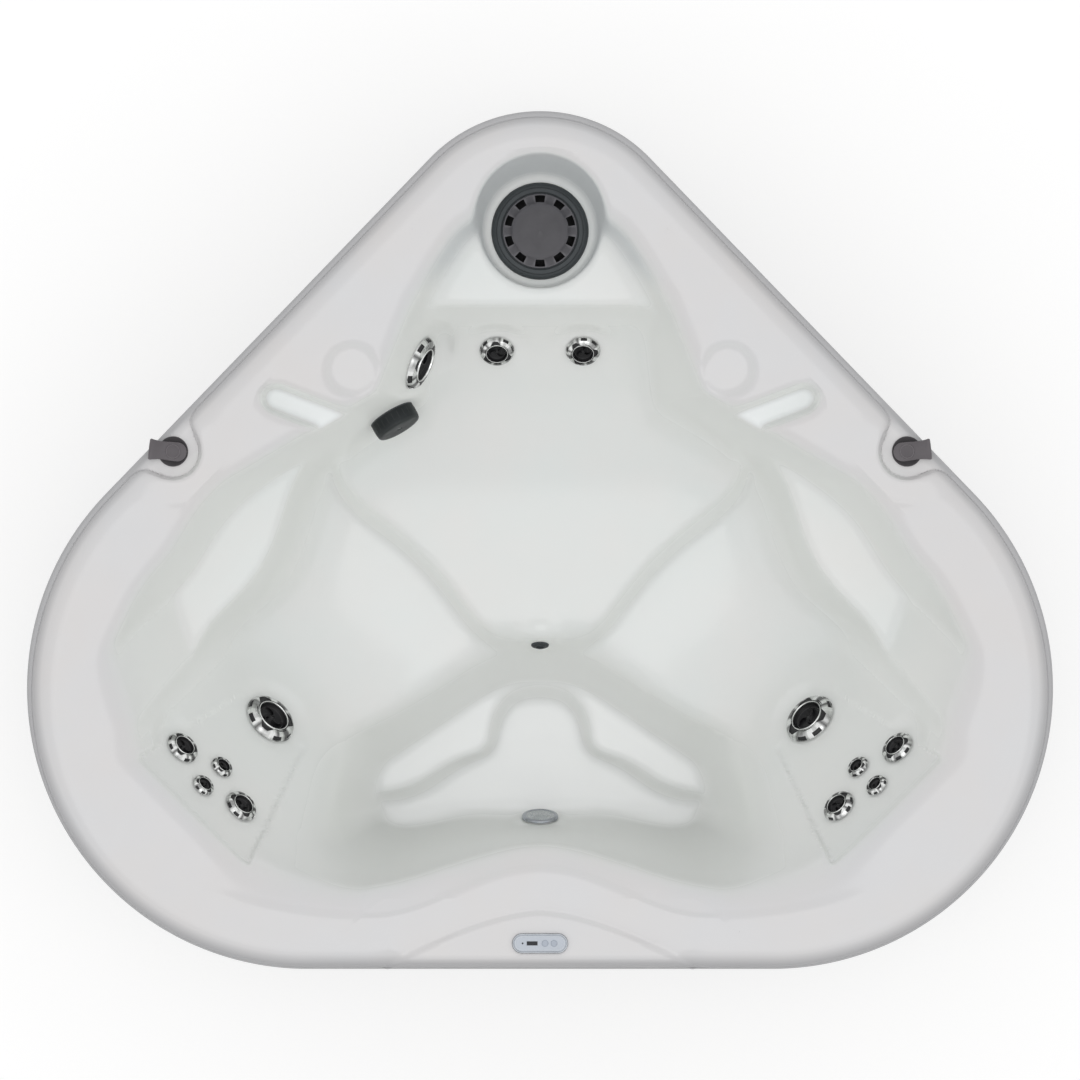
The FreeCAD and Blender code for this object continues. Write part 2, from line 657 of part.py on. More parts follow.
access_low, access_high = pan_top + gap, rim - size("lip_height") - gap
access_face = behind_front(0, panel_in)
margin = size("knob_margin")
knob_spots = []
for side in (-1, 1):
    for height in (access_low + margin, access_high - margin):
        knob_spots.append(access_face + Vec(side * (size("access_half") - margin), 0, height))
access = cabinet.common(front_block(size("access_half"), access_low, access_high))
access = access.cut([bore(spot, BACK, size("knob_stem") + size("fit"), panel_reach) for spot in knob_spots])
add_shape("access_panel", access)
knob = turned("access_knob", [
    ("0", "-panel_thick"), ("knob_stem", "-panel_thick"), ("knob_stem", "0"), ("knob_radius", "0"),
    ("knob_radius", "knob_height"), ("0", "knob_height")], keep=False)
notch(knob, "knob_radius + knob_stem / 2", "knob_stem", "notch_count")
group("access_knobs", knob, [(spot, -BACK) for spot in knob_spots])

# Frame under the rim and supports under the seats.
frame_in = panel_inner + size("frame_gap")
rail_low = rim - skin - size("rail_height")
rail_in = max(frame_in, size("lip_round"))
rail = slab(rail_in, rail_low, rim - skin)
rail = rail.cut(slab(rail_in + size("rail_width"), rail_low - skin, rim))
breaks = [disc(spot, size("rail_break"), rail_low - skin, rim) for spot in both_sides(air_spot)]
breaks.append(disc(behind_front(0, size("panel_back")), size("rail_break"), rail_low - skin, rim))
add_shape("frame_rail", rail.cut(breaks))

post = size("post_size")


def post_at(spot, outward):
    block = Part.makeBox(post, post, rail_low - pan_floor, Vec(0, -post / 2, 0))
    block.Placement = FreeCAD.Placement(spot + UP * pan_floor, FreeCAD.Rotation(Vec(1, 0, 0), -outward))
    return block


posts = []
end_run = (side_end - side_mid).Length - size("post_from_end")
for run in (-end_run, -size("post_mid_run"), size("post_mid_run"), end_run):
    posts.append(post_at(on_side(run, frame_in), side_out))
for heading in (size("post_heading_side"), size("post_heading_front")):
    outward = turn(heading)
    posts.append(post_at(corner + outward * (corner_r - frame_in), outward))
posts.append(post_at(behind_front(size("access_half") + gap / 2, frame_in), -BACK))
posts += [block.mirror(Vec(), LEFT) for block in posts]
foot = size("seat_post")


def seat_block(spot, high):
    return Part.makeBox(foot, foot, high - pan_floor, spot + Vec(-foot / 2, -foot / 2, pan_floor))


seat_spot = behind_front(size("seat_post_half"), size("seat_post_back"))
for spot in both_sides(seat_spot):
    posts.append(seat_block(spot, seat_z - skin))
posts.append(seat_block(behind_front(0, size("top_post_back")), top_z - skin))
add_shape("frame_posts", Part.makeCompound(posts))
bound_box("floor_support", ("2 * support_half", "support_length", "floor_level - skin - pan_floor"),
          behind_front(size("support_half"), size("support_back")) + UP * pan_floor)

# Filter in its well.
canister = turned("filter_canister", [
    ("outlet_radius - outlet_wall", "-canister_length - outlet_length"),
    ("outlet_radius", "-canister_length - outlet_length"), ("outlet_radius", "-canister_length"),
    ("canister_radius", "-canister_length"), ("canister_radius", "0"), ("canister_flange", "0"),
    ("canister_flange", "flange_thick"), ("canister_radius - canister_wall", "flange_thick"),
    ("canister_radius - canister_wall", "canister_wall - canister_length"),
    ("outlet_radius - outlet_wall", "canister_wall - canister_length")], filter_spot + UP * well_z)
ring_base = filter_spot + UP * (well_z + size("flange_thick"))
turned("filter_trim_ring", [
    ("trim_inner", "0"), ("trim_radius", "0"), ("trim_radius", "trim_height - trim_edge"),
    ("trim_radius - trim_edge", "trim_height"), ("trim_inner", "trim_height")], ring_base)
ring_top = ring_base + UP * size("trim_height")
basket = turned("filter_basket", [
    ("0", "basket_rise"), ("basket_dome", "basket_rise"), ("basket_radius", "basket_wall"),
    ("trim_radius - trim_edge * 2", "basket_wall"), ("trim_radius - trim_edge * 2", "0"),
    ("basket_radius", "0"), ("basket_radius", "-basket_depth"),
    ("basket_radius - basket_wall", "-basket_depth"), ("basket_radius - basket_wall", "0"),
    ("basket_dome - basket_wall", "basket_rise - basket_wall"), ("0", "basket_rise - basket_wall")], ring_top)
notch(basket, "basket_slot_radius", "basket_slot / 2", "basket_slot_count")
cartridge = turned("filter_cartridge", [
    ("cartridge_bore", "-cartridge_length"), ("cartridge_radius", "-cartridge_length"),
    ("cartridge_radius", "0"), ("cartridge_bore", "0")],
    ring_top - UP * (size("basket_depth") - size("cartridge_lap")))
notch(cartridge, "cartridge_radius - cartridge_rib", "pleat_radius", "cartridge_pleats")

# Air controls in their recesses.
valve = turned("air_valve", [
    ("0", "-valve_length"), ("valve_radius", "-valve_length"), ("valve_radius", "0"), ("valve_base", "0"),
    ("valve_base", "valve_base_height"), ("0", "valve_base_height")], keep=False)
group("air_valves", valve, [(spot + UP * air_z, UP) for spot in both_sides(air_spot)])
lever_level = UP * (air_z + size("valve_base_height") + size("turn_gap"))
for label, spot, heading in (("left", air_spot, 180), ("right", mirrored(air_spot), 0)):
    hub = doc.addObject("Part::Cylinder", "lever_hub_" + label)
    hub.setExpression("Radius", bound("lever_hub"))
    hub.setExpression("Height", bound("lever_height"))
    arm = doc.addObject("Part::Box", "lever_arm_" + label)
    arm.setExpression("Length", bound("lever_length"))
    arm.setExpression("Width", bound("2 * lever_half"))
    arm.setExpression("Height", bound("lever_height - lever_drop"))
    arm.Placement.Base = Vec(0, -size("lever_half"), 0)
    lever = doc.addObject("Part::MultiFuse", "air_lever_" + label)
    lever.Label = "air_lever_" + label
    lever.Shapes = [hub, arm]
    lever.Placement = FreeCAD.Placement(spot + lever_level, FreeCAD.Rotation(Vec(1, 0, 0), turn(heading)))
    nodes.append(lever)

# Control panel on the front of the rim.
pill_top = rim + size("pill_rise")
fit = size("fit")
pad = behind_front(0, size("panel_back"))
housing = pill(size("pill_half"), size("pill_radius"), rim, pill_top)
housing = housing.fuse(pill(size("pill_body_half"), size("pill_body"), rim - size("pill_body_depth"), rim))
window_low = pill_top - size("window_sink")
window_corner = pad + Vec(-size("window_left") - size("window_half"), -size("window_depth"), window_low)
window_cut = Part.makeBox(2 * size("window_half"), 2 * size("window_depth"), rim, window_corner)
button_low = pill_top + size("button_proud") - size("button_height")
button_spots = [pad + Vec(size("button_right") + place * size("button_step"), 0, 0) for place in (0, 1)]
button_cuts = [disc(spot, size("button_radius") + fit, button_low - size("button_travel"), rim + rim)
               for spot in button_spots]
add_shape("control_housing", housing.cut([window_cut] + button_cuts).removeSplitter())
bound_box("control_display", ("2 * window_half - 2 * fit", "2 * window_depth - 2 * fit", "window_sink"),
          window_corner + Vec(fit, fit, 0))
for label, spot in zip(("left", "right"), button_spots):
    turned("control_button_" + label, [
        ("0", "0"), ("button_radius", "0"), ("button_radius", "button_height - button_proud"),
        ("button_radius - button_proud", "button_height"), ("0", "button_height")], spot + UP * button_low)

# Suction, light, return and drain fittings.
turned("suction_fitting", [
    ("suction_bore", "-suction_length"), ("suction_barrel", "-suction_length"), ("suction_barrel", "0"),
    ("suction_radius", "0"), ("suction_radius", "fitting_flange"), ("suction_bore", "fitting_flange")],
    suction_spot, suction_axis)
cover = turned("suction_cover", [
    ("0", "suction_dome"), ("suction_radius * cover_top_share", "suction_dome"),
    ("suction_radius", "suction_dome * cover_side_share"),
    ("suction_radius", "fitting_flange"), ("suction_radius - flange_thick", "fitting_flange"),
    ("suction_radius - flange_thick", "suction_dome * cover_side_share"),
    ("suction_radius * cover_top_share - flange_thick", "suction_dome - flange_thick"),
    ("0", "suction_dome - flange_thick")], suction_spot, suction_axis)
notch(cover, "suction_radius * cover_slot_share", "suction_slot / 2", "suction_slot_count")
turned("light_housing", [
    ("0", "-light_length"), ("light_barrel", "-light_length"), ("light_barrel", "0"),
    ("light_radius - flange_thick", "0"), ("light_radius - flange_thick", "fitting_flange"),
    ("0", "fitting_flange")], light_spot, light_axis)
turned("light_lens", [
    ("0", "fitting_flange"), ("light_radius", "fitting_flange"),
    ("light_radius", "fitting_flange + light_lens_height * lens_edge_share"),
    ("light_radius * lens_top_share", "fitting_flange + light_lens_height"),
    ("0", "fitting_flange + light_lens_height")], light_spot, light_axis)
turned("return_fitting", [
    ("return_bore", "-return_length"), ("return_barrel", "-return_length"), ("return_barrel", "0"),
    ("return_radius", "0"), ("return_radius", "fitting_flange"),
    ("return_bore", "fitting_flange * 2")], return_spot, return_axis)
turned("drain_valve", [
    ("drain_bore", "-drain_length"), ("drain_radius", "-drain_length"), ("drain_radius", "0"),
    ("drain_bore", "0")], drain_spot, -BACK)
cap = turned("drain_cap", [
    ("0", "-drain_radius"), ("drain_bore - fit", "-drain_radius"), ("drain_bore - fit", "turn_gap"),
    ("drain_cap_radius", "turn_gap"), ("drain_cap_radius", "drain_cap_thick"), ("0", "drain_cap_thick")],
    drain_spot, -BACK)
notch(cap, "drain_cap_radius + flange_thick", "flange_thick * 2", "notch_count")

# Jets: fixed body, nut and nozzle, turning face.
for kind in ("large", "medium", "small"):
    def sized(text):
        return re.sub("(face|barrel|nozzle|length|height)(?![a-z_])", kind + "_\\1", text)

    places = [(spot, axis) for jet_kind, label, spot, axis in JETS if jet_kind == kind]
    body_profile = [("barrel - tube_wall", "-length"), ("barrel", "-length"), ("barrel", "0"),
                    ("face - flange_thick", "0"), ("face - flange_thick", "fitting_flange"),
                    ("barrel - tube_wall", "fitting_flange")]
    nut_profile = [("barrel + fit", "-skin - nut_depth"), ("barrel + nut_width", "-skin - nut_depth"),
                   ("barrel + nut_width", "-skin"), ("barrel + fit", "-skin")]
    face_profile = [("nozzle + fit", "fitting_flange + turn_gap"), ("face", "fitting_flange + turn_gap"),
                    ("face", "fitting_flange + height * edge_share"),
                    ("face * crown_share", "fitting_flange + height"),
                    ("nozzle + fit", "fitting_flange + height * dish_share")]
    nozzle_profile = [("0", "-height"), ("nozzle", "-height"),
                      ("nozzle", "fitting_flange + height * edge_share"),
                      ("nozzle * dish_share", "fitting_flange + height * core_share"),
                      ("0", "fitting_flange + height * core_share")]

    def resized(profile):
        return [(sized(radius), sized(height)) for radius, height in profile]

    group("jet_bodies_" + kind, turned("jet_body_" + kind, resized(body_profile), keep=False), places)
    group("jet_nuts_" + kind, turned("jet_nut_" + kind, resized(nut_profile), keep=False), places)
    if kind != "large":
        nozzle = turned("jet_nozzle_" + kind, resized(nozzle_profile), keep=False)
        notch(nozzle, sized("nozzle * port_reach"), sized("nozzle * port_share"), "port_count")
        group("jet_nozzles_" + kind, nozzle, places)
    for jet_kind, label, spot, axis in JETS:
        if jet_kind != kind:
            continue
        face = turned("jet_face_" + label, resized(face_profile), spot, axis)
        notch(face, sized("face * notch_reach"), sized("face * notch_share"), "notch_count")
        if kind == "large":
            rotor = turned("jet_rotor_" + label, resized(nozzle_profile), spot, axis)
            notch(rotor, sized("nozzle * port_reach"), sized("nozzle * port_share"), "port_count")

# Pump, heater, control box and main pipes on the base pan.
pump_spot = behind_front(0, size("pump_back")) + UP * size("pump_height")
RIGHT = -LEFT
motor = Part.makeCylinder(size("motor_radius"), size("motor_length"), pump_spot, RIGHT)
foot_half = size("pump_foot_half")
foot_block = Part.makeBox(size("motor_length") - foot_half, 2 * foot_half, size("pump_height") - pan_floor,
                          pump_spot + Vec(foot_half / 2, -foot_half, pan_floor - size("pump_height")))
add_shape("pump_motor", motor.fuse(foot_block).removeSplitter())
wet = Part.makeCylinder(size("wet_radius"), size("wet_length"), pump_spot, LEFT)
inlet_end = pump_spot + LEFT * (size("wet_length") + size("pipe_radius"))
outlet_base = pump_spot + LEFT * (size("wet_length") / 2)
outlet_end = outlet_base + UP * (size("wet_radius") + size("pipe_wall"))
stub = size("pipe_radius")
wet = wet.fuse([Part.makeCylinder(stub, size("wet_length"), inlet_end, RIGHT),
                Part.makeCylinder(stub, size("wet_radius") + size("pipe_wall"), outlet_base, UP)])
add_shape("pump_wet_end", wet.removeSplitter())
heater_spot = behind_front(0, size("heater_back")) + UP * (pan_floor + size("union_radius"))
heater_half = size("heater_length") / 2
heater = Part.makeCylinder(size("heater_radius"), 2 * heater_half, heater_spot + LEFT * heater_half, RIGHT)
for start in (-size("union_half") - size("union_width"), size("union_half")):
    heater = heater.fuse(Part.makeCylinder(size("union_radius"), size("union_width"),
                                           heater_spot + RIGHT * start, RIGHT))
add_shape("heater", heater.removeSplitter())
bound_box("control_box", ("2 * box_half", "box_depth", "box_height"),
          heater_spot + Vec(-size("box_half"), -size("box_depth") / 2, size("union_radius")))


def pipe(points):
    edges = []
    last = points[0]
    for before, at, after in zip(points, points[1:], points[2:]):
        first, second = (before - at).normalize(), (after - at).normalize()
        half_angle = first.getAngle(second) / 2
        reach = size("pipe_bend") / math.tan(half_angle)
        middle = (first + second).normalize()
        centre = at + middle * (size("pipe_bend") / math.sin(half_angle))
        begin, finish = at + first * reach, at + second * reach
        edges.append(Part.makeLine(last, begin))
        edges.append(Part.Arc(begin, centre - middle * size("pipe_bend"), finish).toShape())
        last = finish
    edges.append(Part.makeLine(last, points[-1]))
    path = Part.Wire(edges)
    heading = (points[1] - points[0]).normalize()
    tubes = []
    for radius in (size("pipe_radius"), size("pipe_radius") - size("pipe_wall")):
        mouth = Part.Wire(Part.makeCircle(radius, points[0], heading))
        tubes.append(path.makePipeShell([mouth], True, False))
    return tubes[0].cut(tubes[1])


canister_end = filter_spot + UP * (well_z - size("canister_length") - size("outlet_length"))
low_end = Vec(canister_end.x, canister_end.y, pump_spot.z)
inlet_turn = inlet_end + LEFT * size("pipe_reach")
suction_pipe = pipe([canister_end, low_end, inlet_turn + BACK * size("pipe_reach") * 2, inlet_turn, inlet_end])
high = UP * size("pipe_high")
left_end, right_end = heater_spot + LEFT * heater_half, heater_spot + RIGHT * heater_half
rear = behind_front(size("pipe_side_half"), size("pipe_rear_back")) + high
flank = behind_front(size("pipe_side_half"), size("pipe_turn_back")) + high
low_turn = behind_front(size("pipe_front_half"), size("heater_back")) + UP * heater_spot.z
above = outlet_end + UP * (size("pipe_high") - outlet_end.z)
pressure_pipe = pipe([outlet_end, above, rear, flank, low_turn, left_end])
supply_end = mirrored(rear) + LEFT * size("pipe_reach") * 2
supply_pipe = pipe([right_end, mirrored(low_turn), mirrored(flank), mirrored(rear), supply_end])
add_shape("water_pipes", Part.makeCompound([suction_pipe, pressure_pipe, supply_pipe]))

doc.recompute()
for item in doc.Objects:
    if "Invalid" in item.State or "Error" in item.State:
        raise RuntimeError("%s did not compute" % item.Label)
os.makedirs("parts", exist_ok=True)
for node in nodes:
    if node.Shape.isNull() or not node.Shape.isValid():
        raise RuntimeError("%s has no sound shape" % node.Label)
    node.Shape.exportStep("parts/%s.step" % node.Label)
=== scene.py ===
import json
import math

import bpy
import numpy as np
from mathutils import Matrix, Vector


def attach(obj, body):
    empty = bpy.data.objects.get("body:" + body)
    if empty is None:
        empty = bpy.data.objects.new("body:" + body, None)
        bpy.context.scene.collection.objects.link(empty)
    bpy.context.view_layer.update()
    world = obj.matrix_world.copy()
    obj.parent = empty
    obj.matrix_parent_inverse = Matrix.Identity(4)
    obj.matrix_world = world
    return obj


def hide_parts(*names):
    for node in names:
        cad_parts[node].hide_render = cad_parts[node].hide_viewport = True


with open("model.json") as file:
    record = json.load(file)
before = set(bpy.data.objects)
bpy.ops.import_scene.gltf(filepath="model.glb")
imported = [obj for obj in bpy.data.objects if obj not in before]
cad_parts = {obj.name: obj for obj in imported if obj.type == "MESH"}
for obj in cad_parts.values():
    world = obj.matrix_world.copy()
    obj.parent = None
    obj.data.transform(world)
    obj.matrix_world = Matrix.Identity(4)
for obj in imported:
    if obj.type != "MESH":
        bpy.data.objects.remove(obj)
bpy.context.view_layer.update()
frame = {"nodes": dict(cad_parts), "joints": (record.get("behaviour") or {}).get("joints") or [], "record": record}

# Plan and levels of the moulded shell, metres. Left half; the right half mirrors it.
WIDTH, DEPTH, RIM = 1.830, 1.530, 0.740
CORNER_R, APEX_R = 0.500, 0.272
FRONT, APEX_Y = -DEPTH / 2, DEPTH / 2
SHELF, ARM, TOP_SEAT, SIDE_SEAT, STEP, FLOOR = 0.650, 0.560, 0.370, 0.320, 0.150, 0.090
BACK, LEFT = np.array((0.0, 1.0)), np.array((-1.0, 0.0))
CELL = 0.005
SKIN = 0.005
# How softly the walls, the step and the front wall are blurred, and the hollows' edges are rounded.
SOFT_WALLS, SOFT_STEP, WALL_BLUR = 0.008, 0.004, 0.020
SEAT_EDGE, STEP_EDGE, DEEP_EDGE, SEAT_SEAM, FLOOR_SEAM, FRONT_SEAM = 0.050, 0.008, 0.030, 0.001, 0.006, 0.016
ROUND_RIM, RECESS_EDGE = 0.030, 0.012
# Front wall of the footwell: its foot, how far the middle comes forward, how far its top lies behind the wave.
FRONT_FOOT, FRONT_BULGE, FRONT_TOP = 0.231, 0.016, 0.049
# Rolled lip: flange strip, roll up to the rim, skirt down over the cabinet.
FLANGE_Z, SKIRT_Z, FLANGE_EDGE = 0.712, 0.690, 0.004
FLANGE_SIDE, FLANGE_FRONT = 0.010, 0.003
ROLL, ROLL_POD, ROLL_RECESS = 0.042, 0.016, 0.0075
# Recesses in the rim.
AIR_Z, AIR_R = 0.718, 0.0468
CUP_R, CUP_DEPTH = 0.048, 0.010
CHANNEL_HALF, CHANNEL_LENGTH, CHANNEL_Z, CHANNEL_TAPER, CHANNEL_FOOT = 0.0275, 0.120, 0.700, 0.20, 0.008
WELL_RIM_Y, WELL_RIM_R, WELL_Y, WELL_R, WELL_Z = 0.575, 0.116, 0.552, 0.103, 0.6136
WELL_FOOT, FILTER_HOLE = 0.016, 0.0822
# Frame of the backrests' jet panels, and the pocket under the control panel.
PANEL_SINK, PANEL_EDGE = 0.0055, 0.004
CONTROL_Y, CONTROL_HALF, CONTROL_R, CONTROL_POCKET = FRONT + 0.046, 0.050, 0.018, 0.004
# Crease round the control panel, wave of the front, groove beside each air recess.
CREASE_Y, CREASE_BOW, CREASE_POWER, CREASE_DEPTH = -0.660, 0.774, 1.6, 0.005
WAVE_Y, WAVE_RISE, WAVE_HALF = -0.674, 0.0425, 0.302
GROOVE_R, GROOVE_HALF, GROOVE_DEPTH = 0.092, 0.006, 0.0016
# Finely meshed band of the rim, and how much deeper it is at the air recesses and the front.
BAND, BAND_AT_AIR, BAND_AT_FRONT = 0.066, 0.048, 0.060
# Fittings: radius, height and opening of each jet's face, and how far some faces are turned.
FITTING_FLANGE, TURN_GAP = 0.0025, 0.0003
PAD_FADE, LIGHT_FADE = 0.042, 0.014
JET_SIZES = {"large": (0.049, 0.012, 0.024), "medium": (0.031, 0.009, 0.015), "small": (0.021, 0.007, 0.0085)}
JET_ROLL = {"medium_inner_left": 40, "medium_top_right": 30, "small_upper_left": 60, "small_lower_right": 25,
            "medium_inner_right": -30, "large_lower_right": 24, "medium_outer_right": 50}


# Plan helpers.
def heading(degrees):
    return np.array((math.cos(math.radians(degrees)), math.sin(math.radians(degrees))))


CORNER = np.array((CORNER_R - WIDTH / 2, FRONT + CORNER_R))
APEX = np.array((0.0, APEX_Y - APEX_R))
span = np.array((-CORNER[0], CORNER[1] - APEX[1]))
side_angle = math.atan2(span[1], span[0]) + math.acos((APEX_R - CORNER_R) / np.hypot(*span))
SIDE_OUT = np.array((-math.cos(side_angle), math.sin(side_angle)))
SIDE_START = CORNER + SIDE_OUT * CORNER_R
SIDE_END = APEX + SIDE_OUT * APEX_R
SIDE_MID = (SIDE_START + SIDE_END) / 2
SIDE_LENGTH = np.hypot(*(SIDE_END - SIDE_START))
SIDE_DIR = (SIDE_END - SIDE_START) / SIDE_LENGTH


def on_side(run, inset):
    return SIDE_MID + SIDE_DIR * run - SIDE_OUT * inset


def behind_front(half, back):
    return np.array((-half, FRONT + back))


def from_apex(distance):
    return np.array((0.0, APEX_Y - distance))


AIR = on_side(0.1378 - SIDE_LENGTH / 2, 0.034)
CUP = on_side(SIDE_LENGTH / 2 - 0.3688, 0.162)
CHANNEL = on_side(SIDE_LENGTH / 2 - 0.4988, 0.104)
CHANNEL_DIR = heading(-21)


def wall(point, outward, slope, level):
    """A plane of the shell as (normal into the shell, reach), leaning back by slope from the floor."""
    lean = math.radians(slope)
    normal = np.array((*(outward * math.sin(lean)), -math.cos(lean)))
    return normal, normal @ np.array((*point, level))


def wall_through(first, second, slope, level):
    along = (second - first) / np.hypot(*(second - first))
    return wall(first, np.array((along[1], -along[0])), slope, level)


def upright(point, outward):
    return wall(point, outward, 90, 0)


def corner_wall(degrees, rim_width, slope):
    outward = heading(degrees)
    return wall(CORNER + outward * (CORNER_R - rim_width), outward, slope, RIM)


def both(planes):
    return planes + [(normal * (-1, 1, 1), reach) for normal, reach in planes]


JET_SLOPE, ARM_SLOPE, RISER_SLOPE = 72, 74, 70
jet_wall = wall_through(on_side(0.306, 0.113), on_side(0.138, 0.182), JET_SLOPE, RIM)
suction_wall = wall_through(on_side(0.037, 0.218), on_side(-0.106, 0.178), 78, RIM)
armrest_wall = wall_through(on_side(-0.227, 0.150), on_side(-0.492, 0.158), ARM_SLOPE, RIM)
inner_arm = wall_through(on_side(-0.168, 0.225), on_side(-0.469, 0.298), 78, ARM)
bend_wall = corner_wall(154, 0.152, ARM_SLOPE)
flank_wall = corner_wall(180, 0.145, ARM_SLOPE)
backrest = corner_wall(225, 0.182, 51)
armrest_stop = wall(CORNER + heading(199) * 0.174, heading(199), 50, ARM)
shelf_side = wall(on_side(0, 0.114), SIDE_OUT, JET_SLOPE, RIM)
shelf_back = wall(from_apex(0.170), BACK, 80, RIM)
shelf_front = wall(from_apex(0.344), BACK, 66, SHELF)
top_back = wall(from_apex(0.385), BACK, 38, ARM)
seat_step = wall(on_side(-0.149, 0), SIDE_DIR, 63, SIDE_SEAT)
step_run = (TOP_SEAT - SIDE_SEAT) / math.tan(math.radians(63))
top_limit = upright(on_side(-0.149 + step_run, 0), -SIDE_DIR)
front_side = wall(behind_front(0, 0.140), -BACK, 58, RIM)
front_middle = wall(behind_front(0, 0.220), -BACK, 88, RIM)
front_lobe = wall(behind_front(0, 0.140), -BACK, 82.5, RIM)
front_turn = wall_through(behind_front(0.285, 0.140), behind_front(0.089, 0.220), 85.3, RIM)
riser = wall(behind_front(0, 0.590), BACK, RISER_SLOPE, TOP_SEAT)
arch = wall_through(behind_front(0.102, 0.558), behind_front(0.324, 0.407), RISER_SLOPE, SIDE_SEAT)
foot_side = wall(behind_front(0.306, 0), LEFT, 80, STEP)
foot_corner = wall_through(behind_front(0.306, 0.273), behind_front(0.267, 0.229), 80, FLOOR)
bay_side = wall(behind_front(0.077, 0), LEFT, 75, FLOOR)
flare = wall_through(behind_front(0.098, 0.385), behind_front(0.235, 0.289), RISER_SLOPE, FLOOR)
step_front = wall(behind_front(0, 0.289), BACK, RISER_SLOPE, FLOOR)
toe = wall(behind_front(0, 0.277), -BACK, 70, FLOOR)
middle_limit = upright(np.zeros(2), -LEFT)
bay_limit = upright(behind_front(0, 0.385), BACK)
seat_limit = upright(behind_front(0, 0.590), -BACK)
tip_limit = upright(behind_front(0.102, 0), -LEFT)
shelf_limit = upright(from_apex(0.465), -BACK)
arm_end = upright(on_side(0.037, 0.218), SIDE_DIR)
arm_limit = upright(on_side(-0.168, 0.345), -SIDE_OUT)
proud_backrest = (backrest[0], backrest[1] - PANEL_SINK)
brow = corner_wall(225, 0.192, 68)
lobe_turn = (front_turn[0], front_turn[1] - 0.010)

# Hollows of the seats, the footwell and its deeper part, each with the walls that round into each other, flat
# limits, floor level, and how softly the walls meet each other and the floor.
SEATS = (
    (both([jet_wall, shelf_side]) + [shelf_back], [shelf_limit], SHELF, 0.060, 0.030),
    (both([jet_wall]) + [shelf_front, top_back], both([top_limit]) + [seat_limit], TOP_SEAT, 0.036, 0.110),
    ([suction_wall, inner_arm, top_back], [top_limit, seat_limit, tip_limit], TOP_SEAT, 0.060, 0.110),
    ([inner_arm, proud_backrest, front_side, front_turn], [suction_wall, middle_limit, seat_step, brow], SIDE_SEAT,
     0.070, 0.120),
    ([armrest_wall, bend_wall, flank_wall, armrest_stop], [suction_wall, arm_limit, arm_end], ARM, 0.012, 0.006),
)
FOOTWELL = (
    (both([arch, foot_side]) + [riser, front_middle, toe], [], STEP, 0.032, 0.012),
)
DEEP = (
    (both([bay_side]) + [riser], [front_middle, toe], FLOOR, 0.105, 0.012),
    (both([flare, foot_side]) + [front_middle, toe, bay_limit], [], FLOOR, 0.040, 0.012),
    ([foot_side, foot_corner, front_lobe, lobe_turn], [step_front, middle_limit], FLOOR, 0.045, 0.012),
)
# Walls that bow along their run: plane, middle of the bow, direction along it, half length, how far it bows.
BOWS = (
    (seat_step, on_side(-0.149, 0.480), SIDE_OUT, 0.210, -0.020),
    (inner_arm, on_side(-0.312, 0.260), SIDE_DIR, 0.160, 0.026),
    (armrest_wall, on_side(-0.290, 0.190), SIDE_DIR, 0.140, -0.018),
)
JET_PANEL = [np.array(p) for p in ((-0.524, -0.272), (-0.731, -0.397), (-0.521, -0.578), (-0.425, -0.373))]


# Fields: negative inside the shell, positive in the air.
def soft_max(a, b, reach):
    blend = np.maximum(reach - np.abs(a - b), 0)
    return np.maximum(a, b) + blend * blend / (4 * reach)


def soft_min(a, b, reach):
    return -soft_max(-a, -b, reach)


def smooth(value, low, high):
    share = np.clip((value - low) / (high - low), 0, 1)
    return share * share * (3 - 2 * share)


def outline(x, y):
    """Inset from the plan outline, and the outline's outward direction, for the left half."""
    inset = np.minimum(y - FRONT, (SIDE_START[0] - x) * SIDE_OUT[0] + (SIDE_START[1] - y) * SIDE_OUT[1])
    by_front = (y - FRONT) <= inset
    out_x, out_y = np.where(by_front, 0.0, SIDE_OUT[0]), np.where(by_front, -1.0, SIDE_OUT[1])
    cx, cy = x - CORNER[0], y - CORNER[1]
    ax, ay = x - APEX[0], y - APEX[1]
    at_corner = (cx < 0) & (cx * SIDE_DIR[0] + cy * SIDE_DIR[1] < 0)
    at_apex = ax * SIDE_DIR[0] + ay * SIDE_DIR[1] > 0
    for region, px, py, radius in ((at_corner, cx, cy, CORNER_R), (at_apex, ax, ay, APEX_R)):
        length = np.maximum(np.hypot(px, py), 1e-9)
        inset = np.where(region, radius - length, inset)
        out_x = np.where(region, px / length, out_x)
        out_y = np.where(region, py / length, out_y)
    return inset, out_x, out_y


def flange_width(out_y):
    """Width of the flange strip, narrower at the front."""
    return FLANGE_FRONT + (FLANGE_SIDE - FLANGE_FRONT) * smooth(out_y, -0.9, 0.5)


def front_wave(x):
    """Y of the wave that the front of the basin follows."""
    return WAVE_Y + WAVE_RISE * (1 + np.cos(np.pi * np.minimum(np.abs(x), WAVE_HALF) / WAVE_HALF))


def front_wall(x, z):
    """Y of the footwell's front wall, which follows the wave and leans out towards the rim."""
    rise = np.clip((z - FLOOR) / (RIM - FLOOR), 0, 1)
    beyond = np.maximum(np.abs(x) - 0.30, 0)
    foot = FRONT + FRONT_FOOT + FRONT_BULGE * (1 - smooth(np.abs(x), 0.06, 0.30)) - beyond
    return foot + (front_wave(x) + FRONT_TOP - beyond - foot) * rise


